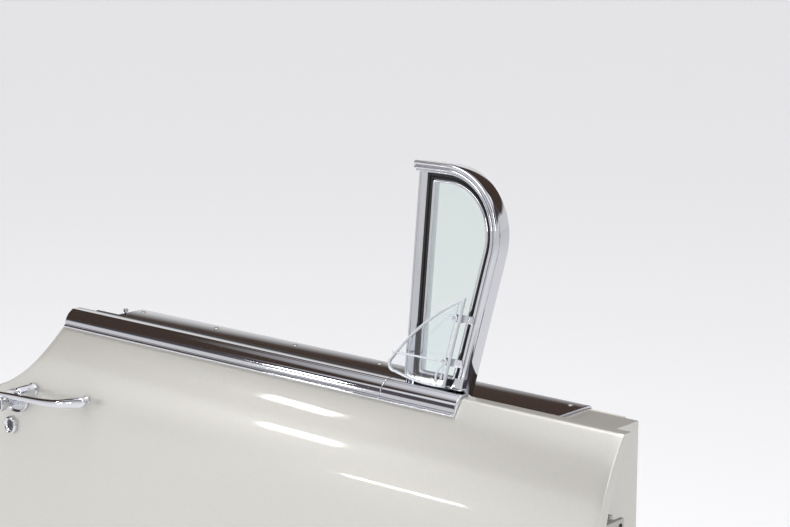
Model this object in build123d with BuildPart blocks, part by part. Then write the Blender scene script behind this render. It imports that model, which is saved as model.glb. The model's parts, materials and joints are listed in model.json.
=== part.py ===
from build123d import *
from math import atan, atan2, cos, degrees, radians, sin, tan
import os

os.makedirs("parts", exist_ok=True)

# The right-hand front door of a large two-door convertible, shut, in millimetres.
# X points forward, Y towards the middle of the car and Z up. The origin is the centre of the
# upper hinge's four pillar bolts, on the face that meets the pillar.

# Clearance between pieces that seat on each other, depth of a cut that goes right through the
# door, and a length longer than the door
seat = 0.3
through = 400.0
beyond = 3000.0

# Door outline, seen from the side
skin_front_x = 30.0
rear_x = -1290.0
belt_z = 170.0
bottom_z = -470.0
rear_top_x = rear_x + 216.4
rear_top_drop = 22.0
rear_sweep = [(rear_x + 186.4, 70.0), (rear_x + 94.0, 135.0)]  # x, distance below the belt
front_corner_radius = 28.0
rear_corner_radius = 75.0

# Skin: how far its crest stands out of the belt line and how far below it the crest lies, and
# how far the skin tucks in below the crest
belt_y = -24.0
skin_t = 2.0
skin_flange = 16.0
outline_overrun = 60.0
crest_out = 60.0
crest_drop = 185.0
tuck = 8.0
tuck_drop = 260.0

# Inner pan, which the skin is folded round: its flange, its tray, whose top lies lower than the
# belt, and the slot for the glass in that top, which reaches further outboard there because the
# window leans
pan_t = 2.0
pan_y = belt_y + 113.0
pan_front_x = -24.0
pan_margin = 26.0
pan_shift = skin_t + seat
pan_top_z = belt_z - skin_t - seat
tray_top_z = belt_z - 16.0
slot_x = (rear_top_x + 42.6, -246.0)
slot_y = (belt_y + 16.0, belt_y + 44.0)
slot_lean = 1.5

# Glass plane: its place at the belt and its lean towards the middle of the car
glass_y = belt_y + 28.0
glass_lean = 6.0
glass_t = 6.0
glass_rear_x = slot_x[0] + 3.0
glass_height = 330.0
glass_drop = 12.0
glass_corner_radius = 25.0
glass_plane = Plane(
    origin=(0, glass_y, belt_z),
    x_dir=(1, 0, 0),
    z_dir=(0, -cos(radians(glass_lean)), sin(radians(glass_lean))),
)

# Hinges
hinge_levels = [0.0, -340.0]
pin_x = -12.0
pin_y = -34.0
pin_r = 5.0
pin_fit = 0.05
pin_head_r = 8.0
pin_head_t = 3.0
knuckle_r = 9.0
knuckle_gap = 0.5
middle_knuckle = 38.0
leaf_t = 6.0
leaf_height = 76.0
leaf_half_width = 24.0
bolt_spacing_y = 32.0
bolt_spacing_z = 56.0
bolt_hole_r = 4.5

# Belt mouldings: section points out from and above the skin's top edge
moulding_lip = [(-15.0, -24.5), (-17.2, -24.0), (-20.2, -21.2), (-18.0, -18.6)]
moulding_face = [(-13.5, -6.2), (-3.6, 2.6)]
moulding_bead = [(-1.2, 4.4), (1.5, 4.6)]
moulding_width = 14.0
moulding_top = 4.6
moulding_split_x = -376.0
moulding_joint = 0.6
moulding_front_x = -240.0
moulding_rear_x = rear_top_x + 6.6

# Rubber lips beside the glass
belt_seal_tops = (belt_z + moulding_top - 1.0, tray_top_z + 6.0)  # outboard, inboard
belt_seal_root = 4.0
belt_seal_depth = 16.0
belt_seal_crown = 1.0
belt_seal_lip_drop = 2.0
belt_seal_lip_t = 1.6
belt_seal_gaps = (2 * seat, 4 * seat)  # outboard, inboard

# Quarter window, drawn in the glass plane
bar_x = (-361.0, -346.0)
bar_foot = -345.0
bar_groove = 9.0
bar_crown = 3.0
vent_top = 315.0
vent_cap_x = -364.0
vent_radius = 98.0
leg_belt_x = -251.9
leg_slope = 0.206
frame_w = 15.0
frame_out = 14.0
frame_in = 12.0
frame_slot_out = 11.0
frame_crown = 5.0
frame_bevel = 3.0
frame_lip_w = 3.5
frame_lip_out = 12.0
frame_foot = -60.0
sill_depth = 24.0
sill_top = 5.7
sill_inset = 1.0
seal_w = 8.0
seal_half_depth = 6.0
sash_w = 4.5
sash_half_depth = 7.0
sash_corner = 6.0
inner_corner = 5.0
vent_glass_t = 5.0
groove_depth = 3.0

# Wind deflector: a clear plate outboard of the quarter window, parallel to it. Its front edge is
# parallel to the frame's leg. Points and levels are measured along and above the belt.
clip_t = 1.5
clip_w = 11.0
clip_lap = 12.0
clip_length = 30.0
deflector_out = frame_out + frame_crown + 2 * seat + clip_t
deflector_t = 4.0
deflector_rim = 3.5
deflector_rim_t = 7.0
deflector_setback = 25.0
deflector_top = 136.0
deflector_foot = 5.0
deflector_belly = [(-330.0, 5.5), (-366.0, 12.0)]
deflector_tail = [(-380.0, 22.0), (-375.0, 34.0)]
deflector_back = (-326.0, 86.0)
rib_t = 1.6
rib_w = 3.0
ribs = [(42.0, 96.0), (105.0, 24.0)]  # level, length
boss_setback = 10.0
boss_r = 5.0

# Outside handle: a bar on a housing, a stem and a front foot. Columns of the bar's sections: x
# from the button, distance out from the belt, height, depth
handle_x = rear_x + 142.0
handle_z = 18.0
handle_out = 94.0
handle_tilt = 5.0
grip_rise = 15.5
grip_sections = [
    (-14.0, handle_out, 9.0, 7.0),
    (86.0, handle_out + 1.0, 10.0, 8.0),
    (146.0, handle_out - 4.0, 13.0, 9.0),
    (195.0, handle_out - 21.0, 18.0, 10.0),
]
grip_edge = 0.3  # share of the depth
grip_end_chamfer = 3.0
grip_foot_x = 174.0
grip_foot_out = handle_out - 12.0
grip_foot_r = 6.5
housing_r = 13.5
housing_proud = 7.0
housing_wall = 4.0
button_recess = 6.0
button_r = 9.0
button_out = 5.0
stem_x = handle_x + 40.0
stem_rise = 22.0
stem_r = 10.8

# Dished plate under the housing, and the lock below it
escutcheon = (31.0, 19.0)
escutcheon_z = handle_z - 2.0
escutcheon_t = 2.5
escutcheon_rim_t = 6.0
escutcheon_rim_w = 3.0
lock_x = handle_x - 12.0
lock_z = -29.0
lock_r = 14.0
lock_out = 7.0
lock_barrel_r = 8.5
lock_recess = 2.0

# Inner side
trim_margin = 8.0
trim_front_x = -50.0
trim_t = 10.0
garnish_t = 4.5
garnish_front_x = -110.0
garnish_drop = 22.0
garnish_round = 11.0
bead_z = (10.0, 22.0)
bead_out = 3.0
kick_z = (bottom_z + 38.0, bottom_z + 140.0)
pleat_pitch = 38.0
pleat_groove = 3.0
armrest_x = (rear_x + 310.0, -420.0)
armrest_top_z = -48.0
armrest_pad_t = 32.0
armrest_depth = 62.0
armrest_corner = 30.0
armrest_edge = 9.0
armrest_base_t = 30.0
armrest_base_inset = 10.0
armrest_base_corner = 24.0
armrest_base_taper = 14.0
switch_x = (-455.0, -230.0)
switch_z = (66.0, 92.0)
switch_t = 4.0
switch_corner = 6.0
switch_flutes = 3
switch_flute = 2.0
switch_flute_pitch = 5.0

# Inner door handle, lock knob and latch
lever_x = -250.0
lever_z = -20.0
lever_length = 95.0
lever_gap = 22.0
lever_t = 9.0
lever_hub_r = 12.0
lever_tip_r = 7.0
lever_foot_r = 22.0
lever_foot_t = 6.0
knob_x = slot_x[0] + 36.0
knob_y = slot_y[1] + 8.0
knob_r = 4.2
knob_neck_r = 2.8
knob_height = 17.0
knob_head = 4.5
latch_z = (-190.0, -120.0)
latch_y = (belt_y + 18.0, belt_y + 74.0)
latch_t = 5.0
rotor_r = 14.0
rotor_t = 7.0

# Weatherstrip
strip_margin = 3.0
strip_w = 8.0
strip_t = 7.0


def door_outline(inset, front_x, top_z, y=0.0):
    """The door's outline from the side, drawn in at its rear and bottom edges."""
    with BuildSketch(Plane.XZ.offset(-y)) as outline:
        with BuildLine():
            start = (rear_top_x, belt_z - rear_top_drop)
            middle, end = [(x, belt_z - drop) for x, drop in rear_sweep]
            sweep_arc = ThreePointArc(start, middle, end)
            rise = (sweep_arc % 0) * -1
            top_rear = Vector(start) + rise * ((outline_overrun + rear_top_drop) / rise.Y)
            fall = sweep_arc % 1
            chord = radians((degrees(atan2(-fall.Y, -fall.X)) + 90) / 2)
            belly_z = end[1] - (end[0] - rear_x) * tan(chord)
            TangentArc(sweep_arc @ 1, (rear_x, belly_z), tangent=fall)
            Polyline(
                (rear_x, belly_z),
                (rear_x, bottom_z),
                (skin_front_x + outline_overrun, bottom_z),
                (skin_front_x + outline_overrun, belt_z + outline_overrun),
                (top_rear.X, top_rear.Y),
                start,
            )
        make_face()
        rear_corner = outline.vertices().group_by(Axis.Y)[0].sort_by(Axis.X)[0]
        fillet(rear_corner, rear_corner_radius)
        if inset > 0:
            offset(amount=-inset, kind=Kind.INTERSECTION, mode=Mode.REPLACE)
        with Locations((front_x, top_z)):
            Rectangle(beyond, beyond, align=(Align.MAX, Align.MAX), mode=Mode.INTERSECT)
        front_corner = outline.vertices().group_by(Axis.Y)[0].sort_by(Axis.X)[-1]
        fillet(front_corner, front_corner_radius)
    return outline.sketch


# Everything inboard of the skin's outer face and below the belt
with BuildPart() as blank:
    with BuildSketch(Plane.YZ.offset(rear_x - outline_overrun)):
        with BuildLine():
            crest = (belt_y - crest_out, belt_z - crest_drop)
            TangentArc(crest, (belt_y, belt_z), tangent=(0, 1))
            side = TangentArc(crest, (crest[0] + tuck, crest[1] - tuck_drop), tangent=(0, -1))
            heading = side % 1
            reach = (side @ 1).Y - bottom_z + skin_flange
            foot = (side @ 1) + heading * (reach / -heading.Y)
            Polyline(
                side @ 1,
                foot,
                (pan_y + skin_flange, foot.Y),
                (pan_y + skin_flange, belt_z),
                (belt_y, belt_z),
            )
        make_face()
    extrude(amount=skin_front_x - rear_x + 2 * outline_overrun)


def door_block(shift, inset, front_x, top_z, inner_y):
    """A door-shaped solid whose outer face lies inboard of the skin's by the shift."""
    with BuildPart() as block:
        extrude(door_outline(inset, front_x, top_z, inner_y), amount=through)
        with Locations((0, shift, 0)):
            add(blank.part, mode=Mode.INTERSECT)
    return block.part


def vent_shape(edge, side, foot_h, corner):
    """The quarter window's outline, drawn in from the frame's outer edge."""
    top = vent_top - edge
    left = bar_x[1] + side
    leg_shift = edge / cos(atan(leg_slope))
    with BuildSketch(glass_plane) as shape:
        with BuildLine():
            FilletPolyline(
                (left, foot_h),
                (left, top),
                (leg_belt_x + leg_slope * top - leg_shift, top),
                (leg_belt_x + leg_slope * foot_h - leg_shift, foot_h),
                radius=[corner, corner, vent_radius - edge, corner],
                close=True,
            )
        make_face()
    return shape.sketch


def keep(part, name):
    """Names a finished piece and writes its file."""
    part.label = name
    export_step(part, f"parts/{name}.step")


# Outer skin: one pressed sheet with folded edges
skin_depth = skin_flange + skin_t + tuck
skin_solid = door_block(0, 0, skin_front_x, belt_z, skin_depth)
skin_hollow = door_block(skin_t, skin_t, skin_front_x - skin_t, belt_z - skin_t, skin_depth)
with BuildPart() as outer_skin:
    add(skin_solid)
    add(skin_hollow, mode=Mode.SUBTRACT)
    with Locations((0, skin_flange, 0)):
        add(blank.part, mode=Mode.SUBTRACT)
keep(outer_skin.part, "outer_skin")

# Inner pan: a tray with a flange that lies in the skin's fold
flange_solid = door_block(
    pan_shift, pan_shift, skin_front_x - pan_shift, pan_top_z, skin_depth
)
tray_solid = door_block(pan_shift, pan_margin, pan_front_x, tray_top_z, pan_y)
tray_hollow = door_block(
    0, pan_margin + pan_t, pan_front_x - pan_t, tray_top_z - pan_t, pan_y - pan_t
)
with BuildPart() as inner_pan:
    add(flange_solid)
    with Locations((0, pan_shift + pan_t, 0)):
        add(blank.part, mode=Mode.SUBTRACT)
    add(tray_solid)
    add(tray_hollow, mode=Mode.SUBTRACT)
    with BuildSketch(Plane.XY.offset(tray_top_z)):
        with Locations((slot_x[0], slot_y[1])):
            Rectangle(
                slot_x[1] - slot_x[0],
                slot_y[1] - slot_y[0] + slot_lean,
                align=(Align.MIN, Align.MAX),
            )
    extrude(amount=-2 * pan_t, mode=Mode.SUBTRACT)
keep(inner_pan.part, "inner_pan")

# Weatherstrip: a rubber strip on the pan's flange, down the front, along the foot and up the rear
strip_solid = door_block(
    pan_shift + pan_t + seat, strip_margin, skin_front_x - strip_margin, pan_top_z - seat, pan_y
)
strip_inside = door_outline(
    strip_margin + strip_w, skin_front_x - strip_margin - strip_w, belt_z + strip_w, pan_y
)
with BuildPart() as door_weatherstrip:
    add(strip_solid)
    with Locations((0, pan_shift + pan_t + seat + strip_t, 0)):
        add(blank.part, mode=Mode.SUBTRACT)
    extrude(strip_inside, amount=through, mode=Mode.SUBTRACT)
keep(door_weatherstrip.part, "door_weatherstrip")

# Hinges: a leaf on the pillar, a leaf on the door and a headed pin in each
end_knuckle = (leaf_height - middle_knuckle) / 2 - knuckle_gap
end_knuckle_z = (leaf_height - end_knuckle) / 2
knuckle_web = -leaf_half_width - pin_y
with BuildPart() as hinge_pins:
    for level in hinge_levels:
        with BuildSketch(Plane.XY.offset(level - leaf_height / 2 - pin_head_t)):
            with Locations((pin_x, pin_y)):
                Circle(pin_r)
        extrude(amount=leaf_height + pin_head_t)
        with BuildSketch(Plane.XY.offset(level + leaf_height / 2)):
            with Locations((pin_x, pin_y)):
                Circle(pin_head_r)
        extrude(amount=pin_head_t)
keep(hinge_pins.part, "hinge_pins")

with BuildPart() as hinge_pillar_leaves:
    for level in hinge_levels:
        with BuildSketch(Plane.XY.offset(level - leaf_height / 2)):
            Rectangle(leaf_t, 2 * leaf_half_width, align=(Align.MAX, Align.CENTER))
        extrude(amount=leaf_height)
        for knuckle_z in (level - end_knuckle_z, level + end_knuckle_z):
            with BuildSketch(Plane.XY.offset(knuckle_z - end_knuckle / 2)):
                with Locations((pin_x, pin_y)):
                    Circle(knuckle_r)
                with Locations((0, pin_y)):
                    Rectangle(-pin_x, knuckle_web, align=(Align.MAX, Align.MIN))
            extrude(amount=end_knuckle)
        with BuildSketch(Plane.XY.offset(level - leaf_height / 2)):
            with Locations((pin_x, pin_y)):
                Circle(pin_r + pin_fit)
        extrude(amount=leaf_height, mode=Mode.SUBTRACT)
        with BuildSketch(Plane.YZ):
            with Locations((0, level)):
                with GridLocations(bolt_spacing_y, bolt_spacing_z, 2, 2):
                    Circle(bolt_hole_r)
        extrude(amount=-leaf_t, mode=Mode.SUBTRACT)
keep(hinge_pillar_leaves.part, "hinge_pillar_leaves")

with BuildPart() as hinge_door_leaves:
    for level in hinge_levels:
        with BuildSketch(Plane.XY.offset(level - leaf_height / 2)):
            with Locations((pan_front_x, 0)):
                Rectangle(leaf_t, 2 * leaf_half_width, align=(Align.MIN, Align.CENTER))
        extrude(amount=leaf_height)
        with BuildSketch(Plane.XY.offset(level - middle_knuckle / 2)):
            with Locations((pin_x, pin_y)):
                Circle(knuckle_r)
            with Locations((pan_front_x, pin_y)):
                Rectangle(pin_x - pan_front_x, knuckle_web, align=(Align.MIN, Align.MIN))
        extrude(amount=middle_knuckle)
        with BuildSketch(Plane.XY.offset(level - middle_knuckle / 2)):
            with Locations((pin_x, pin_y)):
                Circle(pin_r + pin_fit)
        extrude(amount=middle_knuckle, mode=Mode.SUBTRACT)
keep(hinge_door_leaves.part, "hinge_door_leaves")

# Belt mouldings: a rolled section over the door's top edge, in two lengths
mouldings = [
    ("belt_moulding", moulding_rear_x, moulding_split_x - moulding_joint),
    ("vent_base_moulding", moulding_split_x, moulding_front_x),
]
lip = [(belt_y + out, belt_z + up) for out, up in moulding_lip]
face = [(belt_y + out, belt_z + up) for out, up in moulding_face]
bead = [(belt_y + out, belt_z + up) for out, up in moulding_bead]
for name, rear_end, front_end in mouldings:
    with BuildPart() as moulding:
        with BuildSketch(Plane.YZ.offset(rear_end)):
            with BuildLine():
                Line(lip[0], lip[1])
                ThreePointArc(lip[1], lip[2], lip[3])
                ThreePointArc(lip[3], face[0], face[1])
                ThreePointArc(face[1], bead[0], bead[1])
                Polyline(
                    bead[1],
                    (belt_y + moulding_width, belt_z + moulding_top),
                    (belt_y + moulding_width, lip[0][1]),
                    lip[0],
                )
            make_face()
        extrude(amount=front_end - rear_end)
        with Locations((0, -seat, seat)):
            add(blank.part, mode=Mode.SUBTRACT)
    keep(moulding.part, name)

# Belt seals: rubber lips on both sides of the glass
inner_glass_y = glass_y - (belt_seal_tops[0] - belt_seal_tops[1]) * tan(radians(glass_lean))
belt_seals = [
    ("belt_seal_outer", slot_y[0] + seat, glass_y - glass_t / 2 - belt_seal_gaps[0]),
    ("belt_seal_inner", slot_y[1] - seat, inner_glass_y + glass_t / 2 + belt_seal_gaps[1]),
]
for (name, root_y, lip_y), seal_top in zip(belt_seals, belt_seal_tops):
    side = 1 if lip_y > root_y else -1
    inner_y = root_y + side * belt_seal_root
    lip_z = seal_top - belt_seal_lip_drop
    lip_foot_z = lip_z - belt_seal_lip_t
    with BuildPart() as belt_seal:
        with BuildSketch(Plane.YZ.offset(glass_rear_x)):
            with BuildLine():
                Polyline(
                    (inner_y, lip_foot_z),
                    (inner_y, seal_top - belt_seal_depth),
                    (root_y, seal_top - belt_seal_depth),
                    (root_y, seal_top),
                )
                crown = ((root_y + lip_y) / 2, seal_top + belt_seal_crown)
                ThreePointArc((root_y, seal_top), crown, (lip_y, lip_z))
                Polyline((lip_y, lip_z), (lip_y, lip_foot_z), (inner_y, lip_foot_z))
            make_face()
        extrude(amount=bar_x[0] - seat - glass_rear_x)
    keep(belt_seal.part, name)

# Door glass, wound down into the door
with BuildPart() as door_glass:
    with BuildSketch(glass_plane.offset(-glass_t / 2)) as pane:
        with Locations((glass_rear_x, -glass_drop)):
            Rectangle(
                bar_x[0] + bar_groove - seat - glass_rear_x,
                glass_height,
                align=(Align.MIN, Align.MAX),
            )
        fillet(pane.vertices().group_by(Axis.X)[0], glass_corner_radius)
    extrude(amount=glass_t)
keep(door_glass.part, "door_glass")

# Division bar: a crowned post with a groove that guides the glass, down into the door
bar_plane = Plane(
    origin=glass_plane.from_local_coords((0, bar_foot, 0)),
    x_dir=(1, 0, 0),
    z_dir=glass_plane.y_dir,
)
bar_top = vent_top - frame_w - seat
with BuildPart() as division_bar:
    with BuildSketch(bar_plane):
        with BuildLine():
            Polyline(
                (bar_x[0], -frame_slot_out + bar_crown),
                (bar_x[0], frame_in),
                (bar_x[1], frame_in),
                (bar_x[1], -frame_slot_out + bar_crown),
            )
            ThreePointArc(
                (bar_x[1], -frame_slot_out + bar_crown),
                ((bar_x[0] + bar_x[1]) / 2, -frame_slot_out),
                (bar_x[0], -frame_slot_out + bar_crown),
            )
        make_face()
        with Locations((bar_x[0], 0)):
            Rectangle(
                bar_groove, glass_t + 2 * seat, align=(Align.MIN, Align.CENTER), mode=Mode.SUBTRACT
            )
    extrude(amount=bar_top - bar_foot)
keep(division_bar.part, "division_bar")

# Quarter-window frame: a bevelled section with an inner lip, bent round the window's corner, its
# leg ending in the door
with BuildPart() as vent_frame:
    with BuildLine(glass_plane) as frame_line:
        FilletPolyline(
            (vent_cap_x, vent_top),
            (leg_belt_x + leg_slope * vent_top, vent_top),
            (leg_belt_x + leg_slope * frame_foot, frame_foot),
            radius=vent_radius,
        )
    start_plane = Plane(
        origin=frame_line.line @ 0, x_dir=glass_plane.y_dir, z_dir=frame_line.line % 0
    )
    with BuildSketch(start_plane):
        with BuildLine():
            crown_w = frame_w - frame_lip_w
            Polyline(
                (0, frame_out),
                (0, -frame_in),
                (-frame_w, -frame_in),
                (-frame_w, frame_lip_out),
                (-crown_w, frame_lip_out),
                (-crown_w, frame_out),
                (-crown_w + frame_bevel, frame_out + frame_crown),
                (-frame_bevel, frame_out + frame_crown),
                close=True,
            )
        make_face()
    sweep()
    with BuildSketch(Plane.XY.offset(belt_z + moulding_top + seat)):
        with Locations((leg_belt_x, glass_y - frame_slot_out)):
            Rectangle(through, through, align=(Align.CENTER, Align.MAX))
    extrude(amount=-through, mode=Mode.SUBTRACT)
keep(vent_frame.part, "vent_frame")

# Sill under the quarter window, from the bar to the leg
with BuildPart() as vent_sill:
    with BuildSketch(glass_plane.offset(-frame_in + sill_inset)):
        with BuildLine():
            sill_foot = sill_top - sill_depth
            leg_inner = leg_belt_x - frame_w / cos(atan(leg_slope)) - seat
            Polyline(
                (bar_x[1] + seat, sill_top),
                (leg_inner + leg_slope * sill_top, sill_top),
                (leg_inner + leg_slope * sill_foot, sill_foot),
                (bar_x[1] + seat, sill_foot),
                close=True,
            )
        make_face()
    extrude(amount=frame_in + frame_slot_out - 2 * sill_inset)
keep(vent_sill.part, "vent_sill")

# Rubber seal, sash and pane, each drawn in from the frame
seal_edge = frame_w + seat
sash_edge = seal_edge + seal_w + seat
pane_edge = sash_edge + sash_w - groove_depth
with BuildPart() as vent_seal:
    extrude(
        vent_shape(seal_edge, seat, sill_top + seat, sash_corner),
        amount=seal_half_depth,
        both=True,
    )
    extrude(
        vent_shape(
            seal_edge + seal_w, seat + seal_w, sill_top + seat + seal_w, inner_corner
        ),
        amount=seal_half_depth,
        both=True,
        mode=Mode.SUBTRACT,
    )
keep(vent_seal.part, "vent_seal")

with BuildPart() as vent_sash:
    extrude(
        vent_shape(
            sash_edge, sash_edge - frame_w, sill_top + sash_edge - frame_w, inner_corner
        ),
        amount=sash_half_depth,
        both=True,
    )
    extrude(
        vent_shape(
            sash_edge + sash_w,
            sash_edge - frame_w + sash_w,
            sill_top + sash_edge - frame_w + sash_w,
            inner_corner,
        ),
        amount=sash_half_depth,
        both=True,
        mode=Mode.SUBTRACT,
    )
    extrude(
        vent_shape(
            pane_edge - seat,
            pane_edge - frame_w - seat,
            sill_top + pane_edge - frame_w - seat,
            inner_corner,
        ),
        amount=vent_glass_t / 2 + seat,
        both=True,
        mode=Mode.SUBTRACT,
    )
keep(vent_sash.part, "vent_sash")

with BuildPart() as vent_glass:
    extrude(
        vent_shape(
            pane_edge, pane_edge - frame_w, sill_top + pane_edge - frame_w, inner_corner
        ),
        amount=vent_glass_t / 2,
        both=True,
    )
keep(vent_glass.part, "vent_glass")

# Wind deflector: a clear moulded plate with a raised rim, two ribs and a boss at each rib's end
deflector_plane = glass_plane.offset(deflector_out)


def deflector_front(level):
    """The deflector's front edge at a height above the belt."""
    return leg_belt_x + leg_slope * level - deflector_setback


with BuildSketch(deflector_plane) as deflector_outline:
    with BuildLine():
        top = (deflector_front(deflector_top), deflector_top)
        foot = (deflector_front(deflector_foot), deflector_foot)
        Line(top, foot)
        ThreePointArc(foot, deflector_belly[0], deflector_belly[1])
        ThreePointArc(deflector_belly[1], deflector_tail[0], deflector_tail[1])
        ThreePointArc(deflector_tail[1], deflector_back, top)
    make_face()
with BuildPart() as wind_deflector:
    extrude(deflector_outline.sketch, amount=deflector_rim_t)
    with BuildSketch(deflector_plane.offset(deflector_t)):
        add(deflector_outline.sketch_local)
        offset(amount=-deflector_rim, kind=Kind.INTERSECTION, mode=Mode.REPLACE)
    extrude(amount=deflector_rim_t, mode=Mode.SUBTRACT)
    with BuildSketch(deflector_plane.offset(deflector_t)):
        for level, length in ribs:
            with Locations((deflector_front(level) - boss_setback, level)):
                Circle(boss_r)
                Rectangle(length, rib_w, align=(Align.MAX, Align.CENTER))
        add(deflector_outline.sketch_local, mode=Mode.INTERSECT)
    extrude(amount=rib_t)
keep(wind_deflector.part, "wind_deflector")

# Two clips that hold the deflector to the frame's leg
with BuildPart() as deflector_clips:
    for level, length in ribs:
        with BuildSketch(glass_plane.offset(deflector_out - seat)):
            with Locations((deflector_front(level) - clip_lap, level)):
                Rectangle(clip_length, clip_w, align=(Align.MIN, Align.CENTER))
        extrude(amount=-clip_t)
keep(deflector_clips.part, "deflector_clips")

# Outside handle: a bar that swells towards its rounded front end, held by a foot there, by a
# stem, and at the rear by the round housing of the push button
grip_z = handle_z + grip_rise
grip_slope = tan(radians(handle_tilt))
housing_y = belt_y - handle_out - housing_proud
with BuildPart() as housing:
    with BuildSketch(Plane.XZ.offset(-housing_y)):
        with Locations((handle_x, handle_z)):
            Circle(housing_r)
    extrude(amount=-handle_out)
    with Locations((0, -2 * seat - escutcheon_t, 0)):
        add(blank.part, mode=Mode.SUBTRACT)
with BuildPart() as outer_handle:
    for x, out, height, depth in grip_sections:
        section_origin = (handle_x + x, belt_y - out, grip_z + grip_slope * x)
        with BuildSketch(Plane(origin=section_origin, x_dir=(0, 0, 1), z_dir=(1, 0, 0))):
            grip = Rectangle(height, depth)
            chamfer(grip.vertices(), grip_edge * depth)
    loft()
    chamfer(faces().sort_by(Axis.X)[-1].edges(), grip_end_chamfer)
    with BuildSketch(Plane.XZ.offset(grip_foot_out - belt_y)):
        with Locations((handle_x + grip_foot_x, grip_z + grip_slope * grip_foot_x)):
            Circle(grip_foot_r)
    extrude(amount=-handle_out)
    with BuildSketch(Plane.XZ.offset(-belt_y)):
        with Locations((stem_x, handle_z + stem_rise)):
            Circle(stem_r)
    extrude(amount=handle_out)
    with Locations((0, -seat, 0)):
        add(blank.part, mode=Mode.SUBTRACT)
    add(housing.part)
    with BuildSketch(Plane.XZ.offset(-housing_y)):
        with Locations((handle_x, handle_z)):
            Circle(housing_r - housing_wall)
    extrude(amount=-button_recess, mode=Mode.SUBTRACT)
keep(outer_handle.part, "outer_handle")

with BuildPart() as push_button:
    with BuildSketch(Plane.XZ.offset(-housing_y + button_out)):
        with Locations((handle_x, handle_z)):
            Circle(button_r)
    extrude(amount=-button_out - button_recess + seat)
keep(push_button.part, "push_button")

# Dished plate between the housing and the skin
with BuildPart() as dish:
    with BuildSketch(Plane.XZ.offset(-belt_y)):
        with Locations((handle_x, escutcheon_z)):
            Ellipse(escutcheon[0] - escutcheon_rim_w, escutcheon[1] - escutcheon_rim_w)
    extrude(amount=handle_out)
    with Locations((0, -seat - escutcheon_t, 0)):
        add(blank.part, mode=Mode.SUBTRACT)
with BuildPart() as handle_escutcheon:
    with BuildSketch(Plane.XZ.offset(-belt_y)):
        with Locations((handle_x, escutcheon_z)):
            Ellipse(escutcheon[0], escutcheon[1])
    extrude(amount=handle_out)
    with Locations((0, -seat, 0)):
        add(blank.part, mode=Mode.SUBTRACT)
    with Locations((0, -seat - escutcheon_rim_t, 0)):
        add(blank.part, mode=Mode.INTERSECT)
    add(dish.part, mode=Mode.SUBTRACT)
keep(handle_escutcheon.part, "handle_escutcheon")

# Lock: a ring round a sunk barrel
lock_y = belt_y - crest_out - lock_out
with BuildPart() as lock_cylinder:
    with BuildSketch(Plane.XZ.offset(-lock_y)):
        with Locations((lock_x, lock_z)):
            Circle(lock_r)
    extrude(amount=-2 * lock_out)
    with Locations((0, -seat, 0)):
        add(blank.part, mode=Mode.SUBTRACT)
    with BuildSketch(Plane.XZ.offset(-lock_y)):
        with Locations((lock_x, lock_z)):
            Circle(lock_barrel_r)
    extrude(amount=-lock_recess, mode=Mode.SUBTRACT)
keep(lock_cylinder.part, "lock_cylinder")

# Inner garnish: a folded cap over the pan's top edge
garnish_y = pan_y + trim_t + 2 * seat
with BuildPart() as inner_garnish:
    with BuildSketch(Plane.YZ.offset(slot_x[0])):
        with BuildLine():
            outer_y = garnish_y + garnish_t
            top = tray_top_z + seat + garnish_t
            FilletPolyline(
                (slot_y[1] + seat, tray_top_z + seat),
                (slot_y[1] + seat, top),
                (outer_y, top),
                (outer_y, top - garnish_drop - garnish_t),
                (garnish_y, top - garnish_drop - garnish_t),
                (garnish_y, tray_top_z + seat),
                radius=[0, garnish_round, 0, 0],
            )
            Line((garnish_y, tray_top_z + seat), (slot_y[1] + seat, tray_top_z + seat))
        make_face()
    extrude(amount=garnish_front_x - slot_x[0])
keep(inner_garnish.part, "inner_garnish")

# Trim panels on the pan's inner face: name, foot, top, thickness
trim_y = pan_y + seat
trim_panels = [
    ("upper_trim", bead_z[1] + seat, tray_top_z - seat, trim_t),
    ("trim_bead", bead_z[0], bead_z[1], trim_t + bead_out),
    ("lower_trim", kick_z[1] + seat, bead_z[0] - seat, trim_t),
    ("kick_panel", kick_z[0], kick_z[1], trim_t),
]
pleats = int((trim_front_x - rear_x) / pleat_pitch)
for name, foot_z, top_z, thickness in trim_panels:
    with BuildPart() as panel:
        extrude(
            door_outline(pan_margin + trim_margin, trim_front_x, top_z, trim_y),
            amount=-thickness,
        )
        split(bisect_by=Plane.XY.offset(foot_z), keep=Keep.TOP)
        if name == "lower_trim":
            with BuildSketch(Plane.XY.offset(top_z)):
                with Locations(((rear_x + trim_front_x) / 2, trim_y + trim_t)):
                    with GridLocations(pleat_pitch, pleat_pitch, pleats, 1):
                        Rectangle(pleat_groove, pleat_groove, rotation=45)
            extrude(amount=foot_z - top_z, mode=Mode.SUBTRACT)
    keep(panel.part, name)

# Armrest: a base screwed to the door and a soft pad on it
rest_y = trim_y + trim_t + seat
with BuildPart() as armrest_base:
    with BuildSketch(Plane.XY.offset(armrest_top_z - armrest_pad_t - seat)) as base_plan:
        with Locations((armrest_x[0] + armrest_base_inset, rest_y)):
            Rectangle(
                armrest_x[1] - armrest_x[0] - 2 * armrest_base_inset,
                armrest_depth - armrest_base_inset,
                align=(Align.MIN, Align.MIN),
            )
        fillet(base_plan.vertices().group_by(Axis.Y)[-1], armrest_base_corner)
    extrude(amount=-armrest_base_t, taper=armrest_base_taper)
keep(armrest_base.part, "armrest_base")

with BuildPart() as armrest_pad:
    with BuildSketch(Plane.XY.offset(armrest_top_z)) as pad_plan:
        with Locations((armrest_x[0], rest_y)):
            Rectangle(
                armrest_x[1] - armrest_x[0], armrest_depth, align=(Align.MIN, Align.MIN)
            )
        fillet(pad_plan.vertices().group_by(Axis.Y)[-1], armrest_corner)
    extrude(amount=-armrest_pad_t)
    chamfer(faces().sort_by(Axis.Z)[-1].edges().sort_by(Axis.Y)[1:], armrest_edge)
keep(armrest_pad.part, "armrest_pad")

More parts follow.
